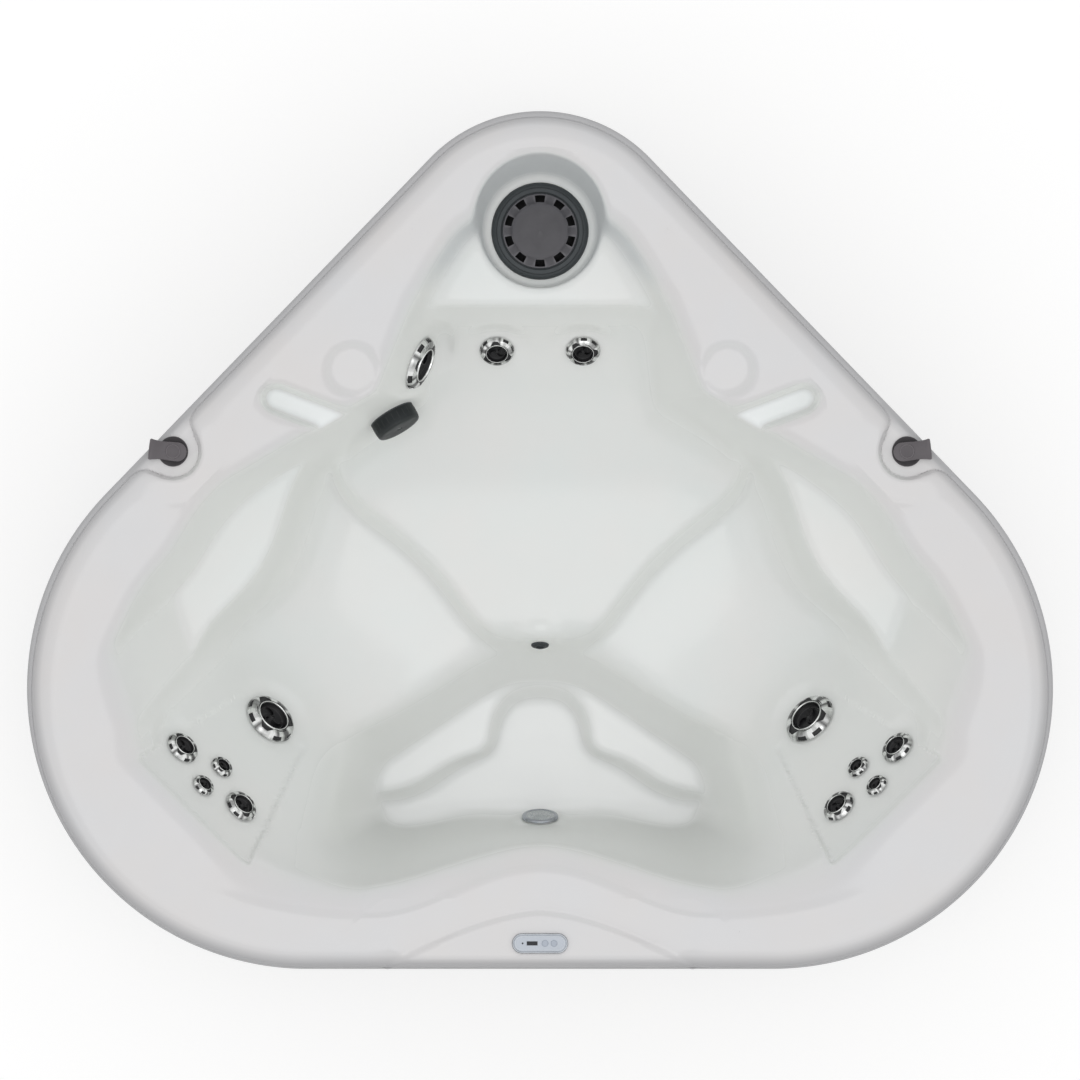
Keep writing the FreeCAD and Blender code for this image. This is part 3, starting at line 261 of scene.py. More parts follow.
def rolled_edge(x, y, from_air):
    """Height of the flange strip, the roll and the level rim, with the air recess."""
    inset, out_x, out_y = outline(x, y)
    pod = (1 - smooth(np.abs(x), 0.225, 0.275)) * (1 - smooth(y - FRONT, 0.05, 0.10))
    near_air = 1 - smooth(from_air, AIR_R, AIR_R + 0.060)
    edge = soft_min(from_air - AIR_R, inset - flange_width(out_y), 0.050)
    roll = (ROLL + (ROLL_POD - ROLL) * pod) * (1 - near_air) + ROLL_RECESS * near_air
    low = FLANGE_Z + (AIR_Z - FLANGE_Z) * near_air * smooth(inset, 0.0, 0.012)
    lean = 1 - np.clip(edge / roll, 0, 1)
    return low + (RIM - low) * np.sqrt(1 - lean * lean)


def crease_dip(x, y):
    """Depth of the crease that arches round the control panel."""
    slope = CREASE_POWER * CREASE_BOW * np.abs(x) ** (CREASE_POWER - 1)
    across = (y - CREASE_Y + CREASE_BOW * np.abs(x) ** CREASE_POWER) / np.sqrt(1 + slope * slope)
    dip = np.where(across > 0, (1 - np.clip(across / 0.045, 0, 1)) ** 2.5, 1 - smooth(-across, 0, 0.010))
    return CREASE_DEPTH * dip * (1 - smooth(np.abs(x), 0.27, 0.32)) * (y < -0.55)


def front_sink(x, y):
    """How far the front of the rim slopes down towards the basin."""
    beyond = y - front_wave(x) - 0.032 * (np.maximum(np.abs(x) - WAVE_HALF, 0) / 0.232) ** 2
    steep = 0.12 + 0.26 * (1 - smooth(np.abs(x), 0.10, 0.20))
    sink = 0.003 * smooth(beyond, 0, 0.009) + steep * np.clip(beyond - 0.003, 0, 0.08)
    return sink * (1 - smooth(np.abs(x), 0.48, 0.62)) * (y < -0.45)


def rim_top(x, y):
    """Height of the rim's upper face, for the left half."""
    from_air = np.hypot(x - AIR[0], y - AIR[1])
    top = rolled_edge(x, y, from_air) - crease_dip(x, y) - front_sink(x, y)
    turn = np.degrees(np.arctan2(y - AIR[1], x - AIR[0]))
    arc = smooth(turn, -105, -80) * (1 - smooth(turn, -30, -12))
    top = top - GROOVE_DEPTH * arc * np.exp(-((from_air - GROOVE_R) / GROOVE_HALF) ** 2)
    under = CONTROL_R - np.hypot(np.maximum(np.abs(x) - CONTROL_HALF + CONTROL_R, 0), y - CONTROL_Y)
    top = top - CONTROL_POCKET * smooth(under, 0.002, 0.007)
    return top - CUP_DEPTH * smooth(CUP_R + 0.003 - np.hypot(x - CUP[0], y - CUP[1]), -0.002, 0.014)


def band_depth(x, y):
    """How far in from the outline the finely meshed band of the rim reaches."""
    inset, out_x, out_y = outline(x, y)
    foot_x, foot_y = x + out_x * inset, y + out_y * inset
    run = (foot_x - AIR[0]) * SIDE_DIR[0] + (foot_y - AIR[1]) * SIDE_DIR[1]
    at_air = (1 - smooth(np.abs(run), 0.10, 0.19)) * (foot_y > -0.3)
    at_front = (1 - smooth(np.abs(foot_x), 0.27, 0.36)) * (foot_y < FRONT + 0.02)
    return BAND + BAND_AT_AIR * at_air + BAND_AT_FRONT * at_front - 0.002 * (foot_y > 0.6)


def blurred(field, cells):
    reach = int(3 * cells) + 1
    weights = np.exp(-0.5 * (np.arange(-reach, reach + 1) / cells) ** 2)
    weights /= weights.sum()
    for axis in range(3):
        pads = [(reach, reach) if a == axis else (0, 0) for a in range(3)]
        padded = np.pad(field, pads, mode="reflect", reflect_type="odd")
        field = np.zeros_like(field)
        for index, weight in enumerate(weights):
            cut = [slice(None)] * 3
            cut[axis] = slice(index, index + field.shape[axis])
            field += np.float32(weight) * padded[tuple(cut)]
    return field


def surface_net(field, axes):
    """Points and quads of the field's zero surface, one point in each cell that it crosses."""
    inside = field < 0
    corners = [(i, j, k) for i in (0, 1) for j in (0, 1) for k in (0, 1)]
    shape = [n - 1 for n in field.shape]
    count = np.zeros(shape, np.uint8)
    for i, j, k in corners:
        count += inside[i:i + shape[0], j:j + shape[1], k:k + shape[2]]
    active = (count > 0) & (count < 8)
    cells = np.argwhere(active)
    number = np.full(shape, -1, np.int32)
    number[active] = np.arange(len(cells))
    values = {c: field[cells[:, 0] + c[0], cells[:, 1] + c[1], cells[:, 2] + c[2]] for c in corners}
    total = np.zeros((len(cells), 3))
    hits = np.zeros(len(cells))
    for a in corners:
        for axis in range(3):
            if a[axis]:
                continue
            b = tuple(1 if n == axis else v for n, v in enumerate(a))
            crossing = (values[a] < 0) != (values[b] < 0)
            share = np.where(crossing, values[a] / np.where(crossing, values[a] - values[b], 1), 0)
            spot = np.array(a, float)[None, :].repeat(len(cells), 0)
            spot[:, axis] = share
            total += spot * crossing[:, None]
            hits += crossing
    places = cells + total / hits[:, None]
    points = np.stack([axes[n][0] + places[:, n] * CELL for n in range(3)], 1)
    quads = []
    for axis in range(3):
        u, v = (axis + 1) % 3, (axis + 2) % 3
        low = [slice(1, n - 1) for n in field.shape]
        high = list(low)
        low[axis], high[axis] = slice(0, field.shape[axis] - 1), slice(1, field.shape[axis])
        change = inside[tuple(low)] != inside[tuple(high)]
        at = np.argwhere(change) + [0 if n == axis else 1 for n in range(3)]
        outward = inside[tuple(low)][change]
        step_u, step_v = np.eye(3, dtype=int)[u], np.eye(3, dtype=int)[v]
        ring = [at - step_u - step_v, at - step_v, at, at - step_u]
        ring = np.stack([number[r[:, 0], r[:, 1], r[:, 2]] for r in ring], 1)
        ring[~outward] = ring[~outward][:, ::-1]
        quads.append(ring)
    return points, np.concatenate(quads)


# Where each fitting sits: place, axis, radius of its flat pad and how far the pad fades out.
joint_of = {joint["child"]: joint for joint in frame["joints"]}
FITTINGS = []
for node, joint in joint_of.items():
    if node.startswith("jet_face"):
        kind = node.split("_")[2]
        FITTINGS.append((np.array(joint["pos_m"]), np.array(joint["axis"]), JET_SIZES[kind][0], PAD_FADE))


def axis_of(plane):
    return -plane[0]


def on_wall(plane, plan, level):
    """The point of a wall at a level, straight outward from a plan point."""
    normal, reach = plane
    flat = normal[:2] / np.hypot(*normal[:2])
    short = reach - normal @ np.array((*plan, level))
    return np.array((*(plan + flat * short / np.hypot(*normal[:2])), level))


suction_dir = on_side(0.037, 0.218) - on_side(-0.106, 0.178)
suction_dir = suction_dir / np.hypot(*suction_dir)
SUCTION = on_wall(suction_wall, on_side(0.037, 0.218) + suction_dir * 0.015, TOP_SEAT + 0.150)
LIGHT = on_wall(toe, behind_front(0, 0.277), FLOOR + 0.040)
RETURN = on_wall(riser, behind_front(0, 0.590), TOP_SEAT - 0.036)
FITTINGS.append((SUCTION, axis_of(suction_wall), 0.044, PAD_FADE))
FITTINGS.append((LIGHT, axis_of(toe), 0.034, LIGHT_FADE))
FITTINGS.append((RETURN, axis_of(riser), 0.018, PAD_FADE))


def near(axes, low, high):
    """The part of the grid between two corners, and its coordinates."""
    cut = tuple(slice(max(0, int((low[n] - axes[n][0]) / CELL)), int((high[n] - axes[n][0]) / CELL) + 2)
                for n in range(3))
    return cut, np.meshgrid(*[axes[n][cut[n]] for n in range(3)], indexing="ij", sparse=True)


def seat_fittings(field, axes):
    """Gives each fitting a flat pad."""
    for spot, axis, radius, fade in FITTINGS:
        reach = radius + fade + 0.004
        cut, (x, y, z) = near(axes, spot - reach, spot + reach)
        along = (x - spot[0]) * axis[0] + (y - spot[1]) * axis[1] + (z - spot[2]) * axis[2]
        off = np.sqrt(np.maximum((x - spot[0]) ** 2 + (y - spot[1]) ** 2 + (z - spot[2]) ** 2 - along ** 2, 0))
        weight = (1 - smooth(off, radius + 0.003, radius + fade)) * (1 - smooth(np.abs(along), 0.014, 0.040))
        pad = field[cut] + (along - field[cut]) * weight
        field[cut] = np.minimum(pad, np.maximum(field[cut], z - FLOOR))


def carve_jet_panel(field, axes, side):
    """Sinks the flat panel that holds a backrest's jets."""
    panel = [(side * p[0], p[1]) for p in JET_PANEL]
    cut, (x, y, z) = near(axes, (*np.min(panel, 0), 0.35), (*np.max(panel, 0), 0.76))
    carve = None
    for plane in (backrest, brow):
        normal = plane[0] * (side, 1, 1)
        depth = normal[0] * x + normal[1] * y + normal[2] * z - plane[1]
        carve = depth if carve is None else np.maximum(carve, depth)
    for first, second in zip(panel, panel[1:] + panel[:1]):
        ex, ey = second[0] - first[0], second[1] - first[1]
        length = math.hypot(ex, ey) * side
        carve = np.maximum(carve, ((x - first[0]) * -ey + (y - first[1]) * ex) / -length)
    field[cut] = soft_max(field[cut], -carve, PANEL_EDGE)


def carve_channel(field, axes, side):
    """Cuts a drain channel through the rim."""
    start, direction = CHANNEL * (side, 1), CHANNEL_DIR * (side, 1)
    ends = (start, start + direction * CHANNEL_LENGTH)
    cut, (x, y, z) = near(axes, (*(np.min(ends, 0) - 0.06), 0.67), (*(np.max(ends, 0) + 0.06), 0.77))
    along = (x - start[0]) * direction[0] + (y - start[1]) * direction[1]
    across = (x - start[0]) * -direction[1] + (y - start[1]) * direction[0]
    half = CHANNEL_HALF - (RIM - z) * CHANNEL_TAPER
    carve = np.hypot(np.minimum(along, 0) * 0.85, across) - half
    carve = soft_max(np.maximum(carve, along - CHANNEL_LENGTH), CHANNEL_Z - z, CHANNEL_FOOT)
    field[cut] = soft_max(field[cut], -carve, RECESS_EDGE)


def carve_well(field, axes):
    """Cuts the filter well, a leaning cone."""
    cut, (x, y, z) = near(axes, (-0.16, 0.40, 0.58), (0.16, 0.74, 0.77))
    rise = (z - WELL_Z) / (RIM - WELL_Z)
    carve = np.hypot(x, y - WELL_Y - (WELL_RIM_Y - WELL_Y) * rise) - WELL_R - (WELL_RIM_R - WELL_R) * rise
    carve = soft_max(carve, WELL_Z - z, WELL_FOOT)
    field[cut] = soft_max(field[cut], -carve, RECESS_EDGE)


def evened(points, edges, fixed, rounds=8):
    """Takes the grid's small ripples out of the points without shrinking the shape."""
    count = np.bincount(edges.ravel(), minlength=len(points))[:, None]
    free = np.ones((len(points), 1))
    free[fixed] = 0
    for share in (0.5, -0.51) * rounds:
        total = np.zeros_like(points)
        for axis in range(3):
            for here, there in ((0, 1), (1, 0)):
                total[:, axis] += np.bincount(edges[:, here], points[edges[:, there], axis], len(points))
        points = points + share * free * (total / np.maximum(count, 1) - points) * (count > 0)
    return points


def step_share(x, y, z):
    """Where the lower footwell keeps its crisp edges."""
    share = smooth(y, -0.54, -0.50) * (1 - smooth(y, -0.16, -0.12)) * (1 - smooth(z, 0.17, 0.25))
    return share * (1 - smooth(np.abs(x), 0.27, 0.33))


def wall_share(x, y, z):
    """Where the footwell's front and end walls run softly into each other."""
    share = np.maximum(1 - smooth(y, -0.50, -0.45), smooth(np.abs(x), 0.27, 0.31))
    return share * (1 - smooth(z, 0.60, 0.68))


def reblur(field, source, axes, low, high, blur, share_of):
    """Puts a box of the source, blurred anew, in the field, as far as its share says."""
    cut = tuple(slice(*np.searchsorted(axes[n], (low[n], high[n]))) for n in range(3))
    spot = np.meshgrid(*[axes[n][cut[n]] for n in range(3)], indexing="ij", sparse=True)
    field[cut] += ((blurred(source[cut], blur / CELL) - field[cut]) * share_of(*spot)).astype(np.float32)


def mirrored(half):
    """Adds the right half to a grid of the left half."""
    return np.concatenate([half, half[-2::-1]])


def basin_depth(x, y, z):
    """Depth inside the shell's material from the basin's walls and floors, for the left half."""
    def depth_of(plane):
        n = plane[0].astype(np.float32)
        depth = n[0] * x + n[1] * y + (n[2] * z - np.float32(plane[1]))
        for bowed, middle, direction, half, bow in BOWS:
            if plane is bowed:
                along = ((x - middle[0]) * direction[0] + (y - middle[1]) * direction[1]) / half
                depth = depth + np.float32(bow) * (np.maximum(1 - along * along, 0) ** 2).astype(np.float32)
        return depth

    def hollow(basins, edge):
        carved = None
        for walls, limits, level, corners, foot in basins:
            depth = depth_of(walls[0])
            for plane in walls[1:]:
                depth = soft_max(depth, depth_of(plane), np.float32(corners))
            depth = soft_max(depth, np.float32(level) - z, np.float32(foot))
            for plane in limits:
                depth = np.maximum(depth, depth_of(plane))
            carved = depth if carved is None else soft_min(carved, depth, np.float32(edge))
        return carved

    deep = soft_max(hollow(DEEP, DEEP_EDGE), np.float32(FLOOR) - z, np.float32(FLOOR_SEAM))
    footwell = soft_min(hollow(FOOTWELL, STEP_EDGE), deep, np.float32(STEP_EDGE))
    carved = soft_min(hollow(SEATS, SEAT_SEAM), footwell, np.float32(SEAT_EDGE))
    return soft_max(carved, front_wall(x, z) - y, np.float32(FRONT_SEAM)).astype(np.float32)


def shell_field():
    """The field of the whole shell's upper face, and the axes of its grid."""
    pad = 8 * CELL
    steps = int(math.ceil((WIDTH / 2 + pad) / CELL))
    xs = (np.arange(-steps, 1) * CELL).astype(np.float32)
    ys = np.arange(FRONT - pad, APEX_Y + pad, CELL).astype(np.float32)
    zs = np.arange(FLOOR - pad, RIM + pad, CELL).astype(np.float32)
    x, y, z = np.meshgrid(xs, ys, zs, indexing="ij", sparse=True)
    axes = (np.concatenate([xs, -xs[-2::-1]]), ys, zs)
    carved = mirrored(-basin_depth(x, y, z))
    field = blurred(carved, SOFT_WALLS / CELL)
    reblur(field, carved, axes, (-0.36, FRONT + 0.16, FLOOR - 1), (0.36, -0.10, 0.28), SOFT_STEP, step_share)
    reblur(field, field, axes, (-0.45, FRONT + 0.08, FLOOR - 1), (0.45, -0.36, 0.72), WALL_BLUR, wall_share)
    top = mirrored(rim_top(*np.meshgrid(xs.astype(float), ys.astype(float), indexing="ij"))).astype(np.float32)
    field = soft_max(field, z - top[:, :, None], np.float32(ROUND_RIM))
    seat_fittings(field, axes)
    for side in (1, -1):
        carve_jet_panel(field, axes, side)
        carve_channel(field, axes, side)
    carve_well(field, axes)
    return field.astype(np.float32), axes


def shell_net():
    """The basin and the inner part of the rim, trimmed to the rim's band and the filter's hole."""
    points, quads = surface_net(*shell_field())
    left_x = -np.abs(points[:, 0])
    inset, out_x, out_y = outline(left_x, points[:, 1])
    depth = band_depth(left_x, points[:, 1])
    hole = np.hypot(points[:, 0], points[:, 1] - WELL_Y) - FILTER_HOLE
    in_hole = (hole < 0) & (points[:, 2] > WELL_Z - 0.02)
    keep = (inset - depth > 0.2 * CELL)[quads].all(1) & ~in_hole[quads].any(1)
    quads = quads[keep]
    edges = np.sort(np.concatenate([quads[:, [a, (a + 1) % 4]] for a in range(4)]), 1)
    unique, counts = np.unique(edges, axis=0, return_counts=True)
    border = np.unique(unique[counts == 1])
    points = evened(points, unique, border)
    steep = (points[:, 1] < -0.46) & (np.abs(points[:, 0]) < 0.42) & (points[:, 2] < 0.70)
    points = evened(points, unique, np.flatnonzero(~steep), 30)
    at_band = border[(inset - depth)[border] < 3 * CELL]
    move = (inset - depth)[at_band]
    points[at_band, 0] -= np.sign(points[at_band, 0]) * out_x[at_band] * move
    points[at_band, 1] += out_y[at_band] * move
    points[at_band, 2] = rim_top(-np.abs(points[at_band, 0]), points[at_band, 1])
    at_hole = border[(np.abs(hole)[border] < 3 * CELL) & (np.abs(points[border, 2] - WELL_Z) < 0.03)]
    radius = np.hypot(points[at_hole, 0], points[at_hole, 1] - WELL_Y)
    points[at_hole, 0] *= FILTER_HOLE / radius
    points[at_hole, 1] = WELL_Y + (points[at_hole, 1] - WELL_Y) * FILTER_HOLE / radius
    used, flat = np.unique(quads, return_inverse=True)
    return points[used], flat.reshape(-1, 4)


def outline_path(step):
    """Points of the whole plan outline with their outward directions, anticlockwise from the front middle."""
    points = []

    def straight(first, last, outward):
        count = int(np.hypot(*(last - first)) / step)
        for index in range(count):
            points.append((first + (last - first) * index / count, outward))

    def arc(centre, radius, start, end):
        count = int(abs(math.radians(end - start)) * radius / step)
        for index in range(count):
            outward = heading(start + (end - start) * index / count)
            points.append((centre + outward * radius, outward))

    flip = np.array((-1, 1))
    tangent = math.degrees(math.atan2(SIDE_OUT[1], -SIDE_OUT[0]))
    straight(np.array((CORNER[0], FRONT)), np.array((-CORNER[0], FRONT)), -BACK)
    arc(CORNER * flip, CORNER_R, -90, tangent)
    straight(SIDE_START * flip, SIDE_END * flip, SIDE_OUT * flip)
    arc(APEX, APEX_R, tangent, 180 - tangent)
    straight(SIDE_END, SIDE_START, SIDE_OUT)
    arc(CORNER, CORNER_R, 180 - tangent, 270)
    return points


def rim_band():
    """The rolled lip with its flange strip, skirt and air recesses, as a fine grid along the outline."""
    path = outline_path(CELL * 0.4)
    points = []
    roll_steps, inner_steps = 12, 30
    for place, outward in path:
        flange = float(flange_width(outward[1]))
        depth = float(band_depth(-abs(place[0]), place[1]))
        edge = min(FLANGE_EDGE, flange * 0.5)
        insets = [edge + (flange - edge) * k / 3 for k in range(4)]
        insets += [flange + ROLL * (1 - math.cos(math.pi / 2 * k / roll_steps)) for k in range(1, roll_steps + 1)]
        last = insets[-1]
        insets += [last + (depth - last) * k / inner_steps for k in range(1, inner_steps + 1)]
        spots = place[None, :] - outward[None, :] * np.array(insets)[:, None]
        heights = rim_top(-np.abs(spots[:, 0]), spots[:, 1])
        skirt = [(0.004, SKIRT_Z), (0.0, SKIRT_Z)]
        for turn in (0, 30, 60):
            skirt.append((edge * (1 - math.cos(math.radians(turn))),
                          heights[0] - edge * (1 - math.sin(math.radians(turn)))))
        column = [(*(place - outward * inset), level) for inset, level in skirt]
        column += [(*spot, height) for spot, height in zip(spots, heights)]
        points.append(column)
    rows = len(points[0])
    count = len(points)
    quads = []
    for i in range(count):
        j = (i + 1) % count
        quads += [(i * rows + k, j * rows + k, j * rows + k + 1, i * rows + k + 1) for k in range(rows - 1)]
    return np.array(points).reshape(-1, 3), np.array(quads)


# Mesh building.
def add_to_scene(name, data):
    made = bpy.data.objects.new(name, data)
    bpy.context.scene.collection.objects.link(made)
    return made


def new_object(name, points, faces, finishes, finish_of=None, sharp=40):
    mesh = bpy.data.meshes.new(name)
    mesh.from_pydata([tuple(p) for p in points], [], [tuple(int(i) for i in f) for f in faces])
    mesh.polygons.foreach_set("use_smooth", np.ones(len(mesh.polygons), bool))
    if finish_of is not None:
        mesh.polygons.foreach_set("material_index", np.array(finish_of, np.int32))
    mesh.update()
    if sharp:
        mesh.set_sharp_from_angle(angle=math.radians(sharp))
        edge_of_loop = np.empty(len(mesh.loops), np.int32)
        mesh.loops.foreach_get("edge_index", edge_of_loop)
        for edge in np.flatnonzero(np.bincount(edge_of_loop, minlength=len(mesh.edges)) == 1):
            mesh.edges[edge].use_edge_sharp = True
    for finish in finishes:
        mesh.materials.append(finish)
    return add_to_scene(name, mesh)


def thicken(piece, thickness):
    """Gives a sheet its thickness, behind its faces."""
    shell = piece.modifiers.new("thickness", "SOLIDIFY")
    shell.thickness = thickness
    shell.offset = -1


def grid_faces(rows, columns, closed=True, is_open=lambda row, column: False):
    """Quads of a grid of points, row by row, without its open cells."""
    faces = []
    for row in range(rows - 1):
        a, b = row * columns, (row + 1) * columns
        for i in range(columns if closed else columns - 1):
            if not is_open(row, i):
                j = (i + 1) % columns
                faces.append((a + i, b + i, b + j, a + j))
    return faces


class Build:
    """Collects the faces of one piece, each with the index of its finish."""

    def __init__(self):
        self.points, self.faces, self.finish, self.spin = [], [], [], []

    def add(self, points, faces, finish=0, place=None):
        start = len(self.points)
        points = np.array(points, float)
        reach = np.maximum(np.hypot(points[:, 0], points[:, 1]), 1e-9)
        self.spin += [(x, y, 0) for x, y in zip(points[:, 0] / reach, points[:, 1] / reach)]
        if place is not None:
            points = points @ np.array(place)[:3, :3].T + np.array(place)[:3, 3]
        self.points += list(points)
        self.faces += [[i + start for i in face] for face in faces]
        self.finish += [finish] * len(faces)

    def rings(self, loop, rows, finish=0, place=None, cap_first=False, cap_last=False):
        """Faces between rows of (offset, height) that follow a closed anticlockwise loop of (point, outward).
        Rows go from the inner or upper one to the outer or lower one."""
        count = len(loop)
        points = [(*(np.array(p) + np.array(n) * offset), height) for offset, height in rows for p, n in loop]
        faces = grid_faces(len(rows), count)
        if cap_first:
            faces.append(list(range(count)))
        if cap_last:
            faces.append([(len(rows) - 1) * count + i for i in reversed(range(count))])
        self.add(points, faces, finish, place)

    def turned(self, profile, finish=0, place=None, steps=72, cap_first=False, cap_last=False):
        loop = [((0, 0), heading(360 * k / steps)) for k in range(steps)]
        self.rings(loop, profile, finish, place, cap_first, cap_last)

    def made(self, node, body, slot, finishes=None, thick=0.0):
        """Makes the piece that takes a node's place."""
        piece = new_object(node + "_detail", self.points, self.faces, finishes or [FINISHES[slot]], self.finish)
        spin = piece.data.attributes.new("spin", "FLOAT_VECTOR", "POINT")
        spin.data.foreach_set("vector", np.array(self.spin, np.float32).ravel())
        if thick:
            thicken(piece, thick)
        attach(piece, body)
        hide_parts(node)


def facing(spot, axis, roll=0):
    """Places a piece built along +Z on a wall, its +Y up the slope."""
    z = Vector(axis).normalized()
    up = Vector((0, 0, 1)) if abs(z.z) < 0.999 else Vector((0, 1, 0))
    y = (up - z * up.dot(z)).normalized()
    x = y.cross(z)
    turn = Matrix((x, y, z)).transposed().to_4x4()
    return Matrix.Translation(Vector(spot)) @ turn @ Matrix.Rotation(math.radians(roll), 4, "Z")


# Finishes.
class Nodes:
    """Short calls for building a node tree."""

    def __init__(self, tree):
        self.tree = tree

    def put(self, value, socket):
        """Links a socket to another, or sets its value."""
        if isinstance(value, bpy.types.NodeSocket):
            self.tree.links.new(value, socket)
        else:
            socket.default_value = value

    def node(self, kind, **inputs):
        made = self.tree.nodes.new(kind)
        for socket, value in inputs.items():
            self.put(value, made.inputs[socket])
        return made

    def ranged(self, value, low, high, to_low, to_high, ramp="LINEAR"):
        made = self.node("ShaderNodeMapRange", Value=value)
        made.interpolation_type = ramp
        for index, number in enumerate((low, high, to_low, to_high), 1):
            made.inputs[index].default_value = number
        return made.outputs[0]

    def math(self, operation, *values):
        made = self.tree.nodes.new("ShaderNodeMath")
        made.operation = operation
        for value, socket in zip(values, made.inputs):
            self.put(value, socket)
        return made.outputs[0]

    def seen(self):
        """1 for rays that show a thing, 0 for rays that only carry its light."""
        rays = self.node("ShaderNodeLightPath").outputs
        mirrors = self.math("MAXIMUM", rays["Is Camera Ray"], rays["Is Glossy Ray"])
        return self.math("MAXIMUM", mirrors, rays["Is Transmission Ray"])


class Finish(Nodes):
    """A Principled material and short calls for the detail that varies over its surface."""

    def __init__(self, name, colour, roughness, **sockets):
        self.material = bpy.data.materials.new(name)
        self.material.use_nodes = True
        super().__init__(self.material.node_tree)
        self.shader = self.tree.nodes["Principled BSDF"]
        self.shader.inputs["Base Color"].default_value = (*colour, 1)
        self.shader.inputs["Roughness"].default_value = roughness
        for socket, value in sockets.items():
            self.shader.inputs[socket.replace("_", " ")].default_value = value
        self.where = self.node("ShaderNodeTexCoord").outputs["Object"]

    def attribute(self, name):
        made = self.node("ShaderNodeAttribute")
        made.attribute_name = name
        return made.outputs

    def split(self, vector):
        return self.node("ShaderNodeSeparateXYZ", Vector=vector).outputs

    def noise(self, scale, detail=4.0, stretch=None):
        where = self.where
        if stretch is not None:
            where = self.node("ShaderNodeMapping", Vector=where, Scale=stretch).outputs["Vector"]
        return self.node("ShaderNodeTexNoise", Vector=where, Scale=scale, Detail=detail).outputs["Fac"]

    def cells(self, scale):
        return self.node("ShaderNodeTexVoronoi", Vector=self.where, Scale=scale).outputs["Distance"]

    def between(self, share, first, second):
        made = self.tree.nodes.new("ShaderNodeMix")
        made.data_type = "RGBA"
        self.put(share, made.inputs[0])
        for socket, colour in ((made.inputs[6], first), (made.inputs[7], second)):
            self.put((*colour, 1) if isinstance(colour, tuple) else colour, socket)
        return made.outputs[2]

    def colour(self, value):
        self.tree.links.new(value, self.shader.inputs["Base Color"])

    def roughness(self, value):
        self.tree.links.new(value, self.shader.inputs["Roughness"])

    def bump(self, height, strength, distance):
        made = self.node("ShaderNodeBump", Height=height, Strength=strength, Distance=distance)
        self.tree.links.new(made.outputs["Normal"], self.shader.inputs["Normal"])

    def painted_edge_highlight(self, colour, edge_colour):
        """Mixes a paler colour in along convex edges, as painted highlight."""
        sharpness = self.node("ShaderNodeNewGeometry").outputs["Pointiness"]
        return self.between(self.ranged(sharpness, 0.51, 0.55, 0, 0.6), colour, edge_colour)

    def patterned(self, pattern, span, first, second, rough=None, relief=None):
        """Lets one pattern vary the colour and, where given, the roughness and the relief."""
        self.colour(self.between(self.ranged(pattern, *span, 0, 1), first, second))
        if rough:
            self.roughness(self.ranged(pattern, *rough))
        if relief:
            self.bump(pattern, *relief)
        return self.material


# Tones of the acrylic; some are paler or darker to paint light and shade into the basin and the lip.
# The third flat tone is far paler than the others: painted light on the deep footwell's flats.
FLAT_COOL, FLAT_WARM, FLAT_DEEP_PAINTED_LIGHT = (0.768, 0.793, 0.783), (0.788, 0.790, 0.778), (0.965, 0.975, 0.975)
# Both wall tones are paler than the flats, the deep one most: painted light on the basin's walls; their green tint is
# the acrylic's own.
WALL_HIGH_PAINTED_LIGHT, WALL_DEEP_PAINTED_LIGHT = (0.868, 0.884, 0.858), (0.955, 0.962, 0.948)
# Both tones here are darker than the other walls: painted shade on walls facing the back and on walls by the shelf and
# filter well.
WALL_FRONT_PAINTED_SHADE, WALL_SHELF_PAINTED_SHADE = (0.752, 0.766, 0.748), (0.690, 0.716, 0.722)
RIM_COOL, RIM_WARM = (0.692, 0.692, 0.703), (0.702, 0.686, 0.684)
# The second tone here, for the lip's edge, is dark: painted shade over the lip's outer roll.
CHANNEL_FLOOR, LIP_EDGE_PAINTED_SHADE = (0.850, 0.878, 0.880), (0.45, 0.45, 0.46)


